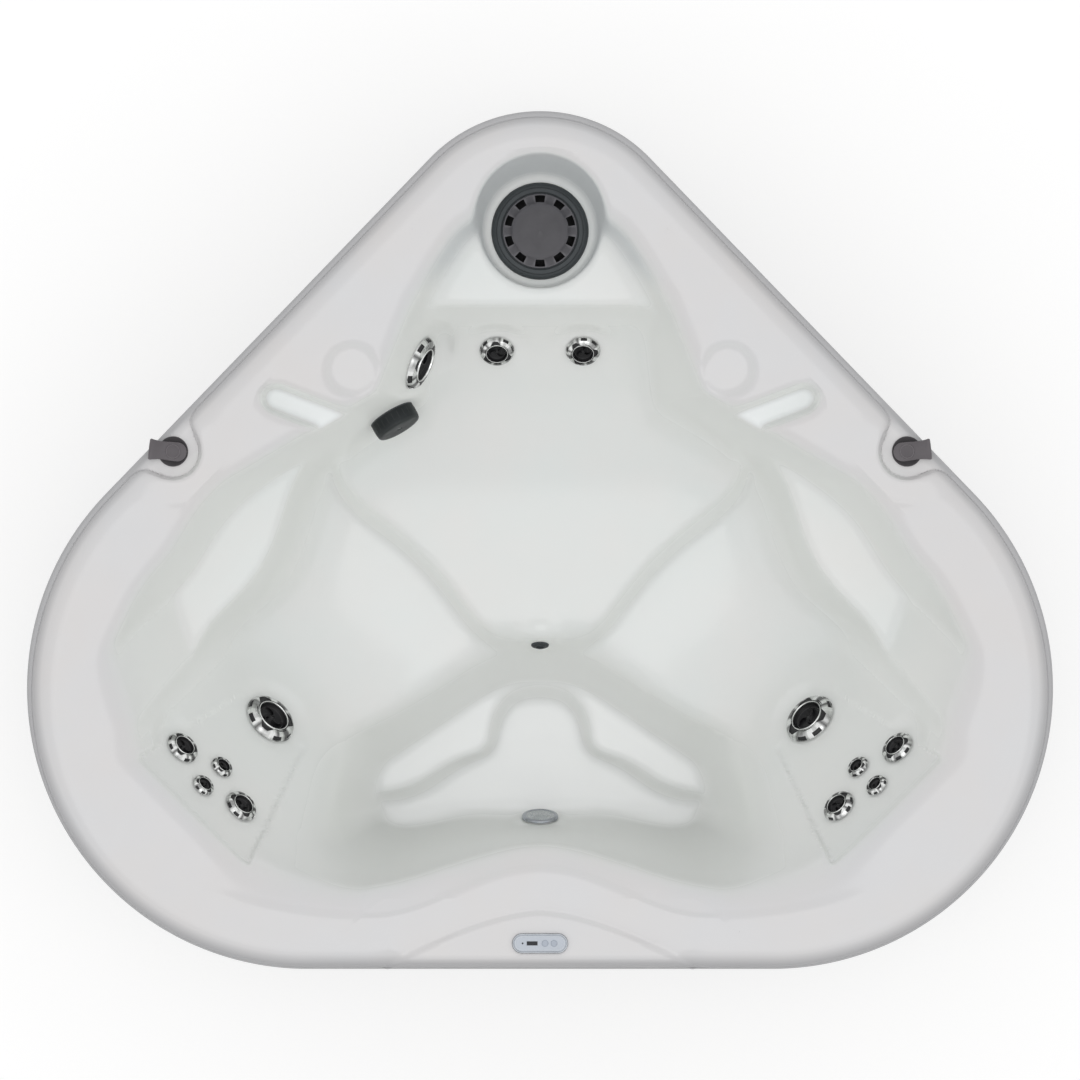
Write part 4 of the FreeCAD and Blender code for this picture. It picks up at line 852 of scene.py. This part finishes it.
def shell_finish():
    """Cast acrylic: cool and pale on the flats, greener on the walls, warmer on the rim. Painted light makes the walls
    and the deep flats paler; painted shade darkens walls facing the back, walls by the shelf and the lip's edge.
    """
    made = Finish("shell_acrylic", (0.78, 0.785, 0.78), 0.22, Coat_Weight=0.35, Coat_Roughness=0.07)
    inset = made.attribute("inset")["Fac"]
    spot = made.split(made.where)
    height = spot["Z"]
    turned = made.split(made.node("ShaderNodeNewGeometry").outputs["Normal"])
    pearl = made.ranged(made.noise(5.0, 3.0), 0.35, 0.68, 0, 1)
    flat = made.between(pearl, FLAT_COOL, FLAT_WARM)
    # Painted light: the flats grow much paler down towards the footwell's floor.
    flat = made.between(made.ranged(height, 0.12, 0.37, 1, 0), flat, FLAT_DEEP_PAINTED_LIGHT)
    # Painted light: the walls are paler than the flats and paler still deep down; their greener tint is the acrylic's
    # own.
    walls = made.between(made.ranged(height, 0.10, 0.42, 1, 0), WALL_HIGH_PAINTED_LIGHT, WALL_DEEP_PAINTED_LIGHT)
    # Painted shade: walls that face the back are darker.
    walls = made.between(made.ranged(turned["Y"], 0.15, 0.70, 0, 1), walls, WALL_FRONT_PAINTED_SHADE)
    # Painted shade: walls by the shelf and the filter well are darker.
    walls = made.between(made.ranged(spot["Y"], 0.44, 0.50, 0, 1), walls, WALL_SHELF_PAINTED_SHADE)
    # Steep faces take the wall tones with their painted light and shade, level ones the flat tones.
    basin = made.between(made.ranged(turned["Z"], 0.30, 0.95, 1, 0), flat, walls)
    level = made.math("MULTIPLY", made.ranged(height, 0.660, 0.735, 0, 1), made.ranged(turned["Z"], 0.55, 0.97, 0, 1))
    on_rim = made.math("MAXIMUM", level, made.ranged(inset, 0.060, 0.085, 1, 0))
    top = made.between(on_rim, basin, made.between(pearl, RIM_COOL, RIM_WARM))
    in_channel = made.math("MULTIPLY", made.ranged(height, 0.694, 0.698, 0, 1), made.ranged(height, 0.704, 0.716, 1, 0))
    in_channel = made.math("MULTIPLY", in_channel, made.ranged(turned["Z"], 0.70, 0.95, 0, 1))
    top = made.between(in_channel, top, CHANNEL_FLOOR)
    # Painted shade: the colour darkens over the lip's outer edge.
    made.colour(made.between(made.ranged(inset, 0.006, 0.026, 0, 1), LIP_EDGE_PAINTED_SHADE, top))
    satin = made.ranged(turned["Z"], 0.0, 1.0, 0.50, 0.13, "SMOOTHSTEP")
    made.roughness(made.math("MAXIMUM", made.ranged(made.noise(26.0), 0.3, 0.7, 0.18, 0.27), satin))
    made.put(satin, made.shader.inputs["Coat Roughness"])
    made.bump(made.noise(420.0, 2.0), 0.02, 0.0004)
    return made.material


def plastic(name, colour, roughness, lift=1.5, grain=900.0, strength=0.10, **sockets):
    """Moulded plastic: fine grain, faint streaks in its colour, convex edges paler as painted highlight."""
    made = Finish(name, colour, roughness, **sockets)
    pale = tuple(min(1.0, c * lift + 0.01) for c in colour)
    streak = made.between(made.ranged(made.noise(34.0, 5.0), 0.35, 0.7, 0, 0.45), colour, pale)
    # Painted highlight: convex edges take a paler colour.
    made.colour(made.painted_edge_highlight(streak, tuple(min(1.0, c * 1.8 + 0.03) for c in colour)))
    made.roughness(made.ranged(made.noise(60.0, 4.0), 0.3, 0.7, roughness - 0.07, roughness + 0.08))
    made.bump(made.noise(grain, 2.0), strength, 0.0003)
    return made.material


def metal(name, colour, roughness, stretch=(900.0, 900.0, 40.0)):
    """Brushed metal with fine lines and a few smudges."""
    made = Finish(name, colour, roughness, Metallic=1.0)
    lines = made.noise(1.0, 3.0, stretch)
    dark = tuple(c * 0.72 for c in colour)
    made.colour(made.between(made.ranged(made.noise(45.0, 4.0), 0.35, 0.7, 0, 0.8), colour, dark))
    made.roughness(made.ranged(lines, 0.3, 0.7, roughness - 0.05, roughness + 0.09))
    made.bump(lines, 0.05, 0.0002)
    return made.material


def steel_with_painted_sheen(name, dark, bright, roughness):
    """Steel turned on a lathe, with fine lines; its bright and dark sectors round its middle are painted reflection."""
    made = Finish(name, bright, roughness, Metallic=1.0)
    where = made.attribute("spin")["Vector"]
    painted_sheen = made.node("ShaderNodeTexNoise", Vector=where, Scale=2.6, Detail=1.0).outputs["Fac"]
    fine = made.node("ShaderNodeTexNoise", Vector=where, Scale=60.0, Detail=2.0).outputs["Fac"]
    # Painted reflection: the colour swings between bright and dark sectors round the middle.
    made.colour(made.between(made.ranged(painted_sheen, 0.40, 0.60, 0, 1), dark, bright))
    made.roughness(made.ranged(fine, 0.3, 0.7, roughness - 0.06, roughness + 0.10))
    made.bump(made.noise(260.0, 3.0), 0.10, 0.0003)
    return made.material


BOARD_Z, BOARD_STEP = 0.072, 0.088


def cabinet_finish():
    """Composite boards: grain along each board, a shade of its own for every board."""
    made = Finish("cabinet_boards", (0.30, 0.29, 0.27), 0.55)
    board = made.math("FLOOR", made.ranged(made.split(made.where)["Z"], BOARD_Z, BOARD_Z + 10 * BOARD_STEP, 0, 10))
    shade = made.node("ShaderNodeTexWhiteNoise")
    shade.noise_dimensions = "1D"
    made.put(board, shade.inputs["W"])
    grain = made.noise(1.0, 6.0, (7.0, 7.0, 150.0))
    fine = made.noise(1.0, 3.0, (60.0, 60.0, 900.0))
    light = made.between(shade.outputs["Value"], (0.20, 0.185, 0.165), (0.27, 0.255, 0.235))
    made.colour(made.between(made.ranged(grain, 0.35, 0.7, 0, 0.75), light, (0.115, 0.105, 0.095)))
    made.roughness(made.ranged(fine, 0.3, 0.7, 0.45, 0.68))
    made.bump(fine, 0.35, 0.0006)
    return made.material


def timber_finish():
    made = Finish("sawn_timber", (0.55, 0.40, 0.24), 0.72)
    grain = made.noise(1.0, 6.0, (110.0, 110.0, 5.0))
    return made.patterned(grain, (0.3, 0.72), (0.56, 0.40, 0.23), (0.36, 0.23, 0.12),
                          rough=(0.3, 0.7, 0.62, 0.82), relief=(0.4, 0.001))


def foam_finish():
    made = Finish("support_foam", (0.70, 0.72, 0.74), 0.9)
    return made.patterned(made.cells(210.0), (0.0, 0.7), (0.74, 0.76, 0.78), (0.52, 0.55, 0.58),
                          relief=(0.5, 0.002))


def pleat_finish():
    made = Finish("filter_fleece", (0.72, 0.76, 0.80), 0.95, Sheen_Weight=0.25)
    fibre = made.noise(1.0, 5.0, (500.0, 500.0, 90.0))
    return made.patterned(fibre, (0.3, 0.7), (0.74, 0.78, 0.82), (0.58, 0.63, 0.68), relief=(0.6, 0.0008))


def lens_finish():
    made = Finish("frosted_lens", (0.46, 0.49, 0.50), 0.16, Coat_Weight=0.6, Coat_Roughness=0.05)
    return made.patterned(made.cells(190.0), (0.0, 0.6), (0.50, 0.53, 0.54), (0.33, 0.355, 0.365),
                          rough=(0.0, 0.7, 0.10, 0.28), relief=(0.5, 0.0012))


def display_finish():
    made = Finish("dark_display", (0.015, 0.016, 0.018), 0.20, Specular_IOR_Level=0.25)
    return made.patterned(made.noise(120.0, 3.0), (0.3, 0.75), (0.012, 0.013, 0.015), (0.030, 0.034, 0.040),
                          rough=(0.3, 0.7, 0.14, 0.28))


FINISHES = {
    "shell": shell_finish(),
    "cabinet": cabinet_finish(),
    "base": plastic("base_pan_plastic", (0.045, 0.045, 0.048), 0.55, grain=420.0, strength=0.3),
    "timber": timber_finish(),
    "foam": foam_finish(),
    "canister": plastic("canister_plastic", (0.060, 0.060, 0.066), 0.35),
    "slate": plastic("slate_plastic", (0.026, 0.031, 0.034), 0.50, lift=1.3, strength=0.14, Specular_IOR_Level=0.25),
    "basket": plastic("basket_plastic", (0.072, 0.070, 0.077), 0.46, lift=1.2, strength=0.12, Specular_IOR_Level=0.35),
    "pleats": pleat_finish(),
    "valve": plastic("valve_plastic", (0.022, 0.019, 0.022), 0.42, Specular_IOR_Level=0.3),
    "lever": plastic("lever_plastic", (0.088, 0.079, 0.086), 0.40, lift=1.25, Specular_IOR_Level=0.4),
    "bezel": metal("panel_chrome", (0.40, 0.42, 0.45), 0.20),
    "display": display_finish(),
    "button": plastic("button_rubber", (0.30, 0.33, 0.38), 0.5, lift=1.05),
    "lens": lens_finish(),
    "pipe": plastic("white_pipe", (0.70, 0.70, 0.69), 0.32, lift=1.08),
    # The jets' steel has painted reflection in its colour.
    "jet_steel": steel_with_painted_sheen("jet_steel", (0.17, 0.17, 0.17), (0.76, 0.77, 0.76), 0.20),
    "jet_black": plastic("jet_black", (0.008, 0.008, 0.009), 0.36, lift=1.8, strength=0.06, Specular_IOR_Level=0.22),
    "motor": plastic("motor_paint", (0.05, 0.055, 0.06), 0.40, grain=260.0, strength=0.25),
    "wet": plastic("pump_plastic", (0.03, 0.03, 0.03), 0.50, grain=380.0, strength=0.25),
    "heater": metal("heater_steel", (0.55, 0.55, 0.55), 0.28),
}
JET_BEZEL = metal("jet_bezel", (0.86, 0.87, 0.86), 0.16)
SUCTION_BLACK = plastic("suction_black", (0.013, 0.016, 0.017), 0.45, lift=1.4, Specular_IOR_Level=0.22)
PANEL_FACE = plastic("panel_face", (0.52, 0.56, 0.62), 0.30, lift=1.06, strength=0.04)
for row in frame["record"]["subparts"]:
    mesh = frame["nodes"][row["node"]].data
    mesh.materials.clear()
    mesh.materials.append(FINISHES[row["material_slot"]])


# Shell.
def make_shell():
    net_points, net_quads = shell_net()
    band_points, band_quads = rim_band()
    points = np.concatenate([net_points, band_points])
    quads = np.concatenate([net_quads, band_quads + len(net_points)])
    shell = new_object("moulded_shell", points, quads, [FINISHES["shell"]], sharp=50)
    inset = shell.data.attributes.new("inset", "FLOAT", "POINT")
    inset.data.foreach_set("value", outline(-np.abs(points[:, 0]), points[:, 1])[0].astype(np.float32))
    thicken(shell, SKIN)
    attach(shell, "tub")
    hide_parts("tub_shell")


make_shell()


# Jets.
TRIANGLE_WIDE, TRIANGLE_NARROW = 27, 9
WINDOW_FROM, WINDOW_TO, SLOT_FROM, LOBE = 29, 51, 45, 60
FACE_ROWS = ((0.668, 1.00), (0.690, 0.995), (0.720, 0.975), (0.790, 0.91), (0.870, 0.78), (0.900, 0.69),
             (0.955, 0.42), (0.990, 0.12), (1.0, 0.0))


def face_columns(reach):
    """Angles of the face's grid lines in one third, at a share of the radius, with what each span holds."""
    wide = TRIANGLE_WIDE + (TRIANGLE_NARROW - TRIANGLE_WIDE) * float(np.clip((reach - 0.66) / 0.20, 0, 1))
    marks = ((0, wide, "triangle", 4), (wide, WINDOW_FROM, "plain", 3), (WINDOW_FROM, SLOT_FROM, "window", 4),
             (SLOT_FROM, WINDOW_TO, "both", 2), (WINDOW_TO, LOBE, "slot", 3))
    half = []
    for first, last, holds, count in marks:
        half += [(first + (last - first) * k / count, holds) for k in range(count)]
    ahead = half + [(LOBE, "end")]
    angles = [-a for a, _ in reversed(ahead)][:-1] + [a for a, _ in ahead]
    holds = [h for _, h in reversed(half)] + [h for _, h in half]
    return angles, holds


def open_cell(row, holds):
    return (holds == "triangle" and 0 <= row <= 3) or (holds in ("window", "both") and 5 <= row <= 6) or (
        holds in ("slot", "both") and row == 1)


def add_jet_face(build, radius, height, opening, place):
    """Steel face with three triangles, six windows and three slots over a black base, round a bright bezel."""
    base = FITTING_FLANGE + TURN_GAP
    rise = height - TURN_GAP

    def rows_at(pairs):
        return [(radius * r, base + rise * z) for r, z in pairs]

    holds = face_columns(1)[1]
    faces = grid_faces(len(FACE_ROWS), len(holds) + 1, False, lambda row, column: open_cell(row, holds[column]))
    for third in range(3):
        points = []
        for reach, level in FACE_ROWS:
            for angle in face_columns(reach)[0]:
                flat = heading(angle + 120 * third + 90) * radius * reach
                points.append((*flat, base + rise * level))
        build.add(points, faces, 0, place)
    build.turned(rows_at(((0.60, 0.78), (0.66, 0.86), (0.78, 0.78), (0.87, 0.60), (0.925, 0.34), (0.95, 0.0))),
                 1, place, steps=60)
    build.turned(rows_at(((0.586, 0.78), (0.592, 1.0), (0.604, 1.06), (0.622, 1.06), (0.634, 1.0), (0.640, 0.82))),
                 2, place, steps=72)
    build.turned([(opening + 0.0004, base + rise * 0.16), (radius * 0.53, base + rise * 0.28),
                  (radius * 0.575, base + rise * 0.58), (radius * 0.588, base + rise * 0.84)], 1, place, steps=60)


def add_swirl(build, height, opening, place):
    """Black nozzle bowl with three curved blades and a hub."""
    floor = FITTING_FLANGE + height * 0.10
    build.turned([(opening * 0.10, floor + height * 0.34), (opening * 0.20, floor + height * 0.26),
                  (opening * 0.32, floor), (opening * 0.82, floor + height * 0.02),
                  (opening * 0.95, floor + height * 0.16), (opening, floor + height * 0.20),
                  (opening, floor - height * 0.6)], 0, place, steps=48, cap_first=True, cap_last=True)
    steps = 10
    for blade in range(3):
        rows = []
        for k in range(steps + 1):
            share = k / steps
            reach = opening * (0.12 + 0.82 * share)
            angle = 120 * blade + 75 * share ** 1.3
            along, across = heading(angle), heading(angle + 90)
            half = opening * (0.055 + 0.05 * share)
            top = floor + height * (0.36 + 0.10 * math.sin(math.pi * share))
            lean = opening * 0.10
            rows.append([(*(along * reach - across * half), floor - height * 0.05),
                         (*(along * reach - across * half * 0.6 + across * lean), top),
                         (*(along * reach + across * half * 0.6 + across * lean), top - height * 0.04),
                         (*(along * reach + across * half), floor - height * 0.05)])
        points = [p for row in rows for p in row]
        faces = []
        for k in range(steps):
            for side in range(4):
                a, b = k * 4 + side, k * 4 + (side + 1) % 4
                faces.append((a, b, b + 4, a + 4))
        faces += [(3, 2, 1, 0), tuple(steps * 4 + i for i in range(4))]
        build.add(points, faces, 0, place)


def make_jets():
    nozzles = {kind: Build() for kind in ("medium", "small")}
    for node, joint in joint_of.items():
        if not node.startswith("jet_face_"):
            continue
        label = node[len("jet_face_"):]
        kind = label.split("_")[0]
        radius, height, opening = JET_SIZES[kind]
        place = facing(joint["pos_m"], joint["axis"], 7 + JET_ROLL.get(label, 0))
        face = Build()
        add_jet_face(face, radius, height, opening, place)
        face.made(node, node, "jet_steel", [FINISHES["jet_steel"], FINISHES["jet_black"], JET_BEZEL], radius * 0.018)
        if kind == "large":
            rotor = Build()
            add_swirl(rotor, height, opening, place)
            rotor.made("jet_rotor_" + label, "jet_rotor_" + label, "jet_black")
        else:
            add_swirl(nozzles[kind], height, opening, place)
    for kind, build in nozzles.items():
        build.made("jet_nozzles_" + kind, "tub", "jet_black")


make_jets()


# Filter.
RING_Z = 0.613
SLOTS, SLOT_HALF = 10, 8.5
BASKET_ROWS = ((0.0005, 0.6412), (0.016, 0.6411), (0.032, 0.6407), (0.042, 0.6400), (0.0480, 0.6386), (0.0505, 0.6368),
               (0.0515, 0.6354), (0.0580, 0.6336), (0.0642, 0.6320), (0.0655, 0.6316), (0.0665, 0.6300),
               (0.0672, 0.6272), (0.0690, 0.6272), (0.0700, 0.6283), (0.0765, 0.6282), (0.0768, 0.6252))
LIP_ROW = 10


def make_filter_ring():
    at = Matrix.Translation((0, WELL_Y, 0))
    ring = Build()
    ring.turned([(0.0690, 0.6135), (0.0692, 0.6200), (0.0715, 0.6218), (0.0735, 0.6222), (0.0752, 0.6240),
                 (0.0775, 0.6250), (0.0805, 0.6248), (0.0838, 0.6228), (0.0860, 0.6190), (0.0870, 0.6150),
                 (0.0870, RING_Z), (0.0690, RING_Z), (0.0690, 0.6135)], 0, at, steps=128)
    ring.made("filter_trim_ring", "tub", "slate")


def make_basket():
    at = Matrix.Translation((0, WELL_Y, 0))
    basket = Build()
    sector = [-18, -13, -SLOT_HALF, -SLOT_HALF / 2, 0, SLOT_HALF / 2, SLOT_HALF, 13]
    angles = [360 / SLOTS * k + a for k in range(SLOTS) for a in sector]
    points = [(*(heading(a + 90) * r), z) for r, z in BASKET_ROWS for a in angles]
    count = len(angles)
    faces = grid_faces(len(BASKET_ROWS), count,
                       is_open=lambda row, column: 2 <= column % len(sector) <= 5 and 6 <= row <= 7)
    top = [face for face in faces if face[0] < LIP_ROW * count]
    basket.add(points, top + [list(range(count))], 0, at)
    basket.add(points, [face for face in faces if face[0] >= LIP_ROW * count], 2, at)
    basket.turned([(0.0670, 0.6280), (0.0670, 0.556)], 0, at, steps=96)
    basket.turned([(0.0180, 0.6320), (0.0190, 0.600), (0.0300, 0.585), (0.0640, 0.580)], 1, at, steps=60,
                  cap_first=True)
    basket.made("filter_basket", "filter_element", "basket",
                [FINISHES["basket"], FINISHES["jet_black"], FINISHES["slate"]], 0.002)


make_filter_ring()
make_basket()


# Air controls.
def lever_loop():
    """Outline of a lever: round back end, waisted neck, wider paddle end, pointing along +X."""
    back, half = np.array((-0.0075, 0.0)), 0.0170
    upper = [back + heading(a) * half for a in range(180, 89, -10)]
    upper += [np.array(p) for p in ((0.004, 0.0168), (0.016, 0.0161), (0.026, 0.0164), (0.035, 0.0178),
                                    (0.0398, 0.0189), (0.0418, 0.0185), (0.0428, 0.0168), (0.0432, 0.0080))]
    points = [p * (1, -1) for p in upper] + [p for p in reversed(upper[1:])]
    count = len(points)
    loop = []
    for k in range(count):
        along = points[(k + 1) % count] - points[k - 1]
        loop.append((points[k], np.array((along[1], -along[0])) / np.hypot(*along)))
    return loop


def make_air_controls():
    valves = Build()
    for side in (-1, 1):
        at = Matrix.Translation((-side * AIR[0], AIR[1], 0))
        valves.turned([(0.0235, 0.7226), (0.0250, 0.7226), (0.0266, 0.7219), (0.0270, 0.7205), (0.0270, AIR_Z - 0.002),
                       (0.0130, AIR_Z - 0.002), (0.0130, 0.645)], 0, at, steps=72, cap_first=True, cap_last=True)
    valves.made("air_valves", "tub", "valve")
    for side, name in ((-1, "air_lever_left"), (1, "air_lever_right")):
        spot = joint_of[name]["pos_m"]
        turn = 174 if side < 0 else 6
        place = Matrix.Translation((spot[0], spot[1], 0)) @ Matrix.Rotation(math.radians(turn), 4, "Z")
        lever = Build()
        low, high, edge = 0.7236, 0.7322, 0.0018
        rows = [(-edge, high)]
        rows += [(-edge * (1 - math.sin(math.radians(a))), high - edge * (1 - math.cos(math.radians(a))))
                 for a in (22.5, 45, 67.5, 90)]
        rows += [(0, low + 0.0008), (-0.0008, low)]
        lever.rings(lever_loop(), rows, 0, place, cap_first=True, cap_last=True)
        lever.turned([(0.0105, 0.7332), (0.0112, 0.7338), (0.0122, 0.7338), (0.0130, 0.7330), (0.0132, 0.7318)],
                     0, place, steps=64, cap_first=True)
        lever.made(name, name, "lever")


make_air_controls()


# Control panel.
def stadium(half, radius, steps=20):
    loop = []
    for side, start in ((1, -90), (-1, 90)):
        for k in range(steps + 1):
            outward = heading(start + 180 * k / steps)
            loop.append((np.array((side * (half - radius), 0)) + outward * radius, outward))
    return loop


def make_panel():
    at = Matrix.Translation((0, CONTROL_Y, 0))
    panel = Build()
    loop = stadium(CONTROL_HALF, CONTROL_R)
    panel.rings(loop, [(-0.0036, 0.7444), (-0.0030, 0.7451), (-0.0022, 0.7455), (-0.0012, 0.7453), (-0.0003, 0.7440),
                       (0.0, 0.7420), (0.0, 0.7390)], 0, at)
    panel.rings(loop, [(-0.0179, 0.7446), (-0.0120, 0.7446), (-0.0068, 0.7446), (-0.0064, 0.7450), (-0.0058, 0.7450),
                       (-0.0054, 0.7446), (-0.0036, 0.7444)], 1, at, cap_first=True)
    panel.turned([(0.0008, 0.7452), (0.0014, 0.7450), (0.0016, 0.7445)], 2,
                 Matrix.Translation((-0.031, CONTROL_Y, 0)), steps=20, cap_first=True)
    panel.made("control_housing", "tub", "bezel", [FINISHES["bezel"], PANEL_FACE, FINISHES["display"]])


make_panel()


# Fittings in the walls.
def make_suction_cover():
    place = facing(SUCTION, axis_of(suction_wall))
    cover = Build()
    radius, dome = 0.042, 0.031
    top = FITTING_FLANGE
    cover.turned([(0.0040, dome - 0.0022), (0.0048, dome - 0.0004), (0.030, dome), (0.0370, dome - 0.0004),
                  (0.0394, dome - 0.0014), (0.0410, dome - 0.0034), (0.0417, dome - 0.0064), (0.0419, dome - 0.016),
                  (radius, top + 0.003), (radius, top)], 0, place, steps=96, cap_first=True)
    slots = 24
    for k in range(slots):
        angle = 360 * k / slots
        along, across = heading(angle), heading(angle + 90)
        points, faces = [], []
        for reach, level in ((0.0420, 0.007), (0.0420, 0.014), (0.0418, 0.022)):
            points += [(*(along * reach - across * 0.0012), level), (*(along * (reach + 0.0004)), level),
                       (*(along * reach + across * 0.0012), level)]
        for row in range(2):
            for column in range(2):
                a = row * 3 + column
                faces.append((a, a + 1, a + 4, a + 3))
        cover.add(points, faces, 0, place)
    cover.turned([(0.0034, dome - 0.0012), (0.0040, dome - 0.0022)], 1, place, steps=24, cap_first=True)
    cover.made("suction_cover", "tub", "slate", [SUCTION_BLACK, FINISHES["jet_steel"]])


def make_light():
    place = facing(LIGHT, axis_of(toe))
    lens = Build()
    lens.turned([(0.0250, 0.0072), (0.0262, 0.0080), (0.0290, 0.0080), (0.0315, 0.0070), (0.0328, 0.0050),
                 (0.0330, 0.0025)], 1, place, steps=80)
    rows = [(0.0020, 0.0088), (0.0060, 0.0086), (0.0066, 0.0079), (0.0110, 0.0085), (0.0116, 0.0077),
            (0.0160, 0.0082), (0.0166, 0.0074), (0.0210, 0.0079), (0.0250, 0.0070)]
    lens.turned(rows, 0, place, steps=80, cap_first=True)
    lens.made("light_lens", "tub", "lens", [FINISHES["lens"], FINISHES["bezel"]])


def make_return():
    place = facing(RETURN, axis_of(riser))
    eyeball = Build()
    eyeball.turned([(0.0070, -0.004), (0.0071, 0.0046), (0.0080, 0.0054), (0.0098, 0.0050), (0.0108, 0.0036),
                    (0.0118, 0.0036), (0.0135, 0.0034), (0.0152, 0.0026), (0.0160, 0.0012), (0.0160, 0.0),
                    (0.0110, 0.0), (0.0110, -0.045), (0.0070, -0.045), (0.0070, -0.004)], 0, place, steps=64)
    eyeball.made("return_fitting", "tub", "slate")


make_suction_cover()
make_light()
make_return()


# Floor, light and camera.
FLOOR_Z, FLOOR_GLOW = -0.0005, 0.66
SKY_LOW, SKY_HIGH, SKY_FADE = 0.08, 0.87, 0.45
SUN_POWER, SUN_SPREAD = 0.30, 40
CAMERA_AWAY, CAMERA_LENS, SENSOR = 50.0, 935, 36


def make_floor():
    """A pale floor that looks white but lights the object little."""
    build = Build()
    build.turned([(radius, FLOOR_Z) for radius in (0.02, 2.0, 8.0, 40.0)], steps=96, cap_first=True)
    made = Finish("studio_floor", (0.40, 0.40, 0.40), 0.8, Emission_Color=(1, 1, 1, 1))
    made.put(made.ranged(made.seen(), 0, 1, 0, FLOOR_GLOW), made.shader.inputs["Emission Strength"])
    floor = new_object("studio_floor", build.points, build.faces, [made.material], sharp=0)


def make_world():
    """Light that fades towards the horizon, behind a white that only shows."""
    world = bpy.data.worlds.new("studio")
    bpy.context.scene.world = world
    world.use_nodes = True
    made = Nodes(world.node_tree)
    light = made.tree.nodes["Background"]
    where = made.node("ShaderNodeTexCoord").outputs["Generated"]
    height = made.node("ShaderNodeSeparateXYZ", Vector=where).outputs["Z"]
    made.put(made.ranged(height, 0.0, SKY_FADE, SKY_LOW, SKY_HIGH), light.inputs["Strength"])
    made.put((1, 1, 1, 1), light.inputs["Color"])
    white = made.node("ShaderNodeBackground", Color=(1, 1, 1, 1), Strength=1.0)
    pick = made.node("ShaderNodeMixShader")
    for value, socket in zip((made.seen(), light.outputs[0], white.outputs[0]), pick.inputs):
        made.put(value, socket)
    made.put(pick.outputs[0], made.tree.nodes["World Output"].inputs["Surface"])


def make_lamp():
    overhead = bpy.data.lights.new("overhead", "SUN")
    overhead.energy = SUN_POWER
    overhead.angle = math.radians(SUN_SPREAD)
    add_to_scene("overhead", overhead).rotation_euler = (math.radians(10), math.radians(3), 0)


def make_camera():
    """Looks straight down from far away, as the photo does."""
    camera = bpy.data.cameras.new("camera")
    camera.lens, camera.sensor_width = CAMERA_LENS, SENSOR
    camera.clip_end = 120
    eye = add_to_scene("camera", camera)
    eye.location = (0, 0, RIM + CAMERA_AWAY)
    bpy.context.scene.camera = eye


bpy.context.scene.view_settings.view_transform = "Standard"
make_floor()
make_world()
make_lamp()
make_camera()
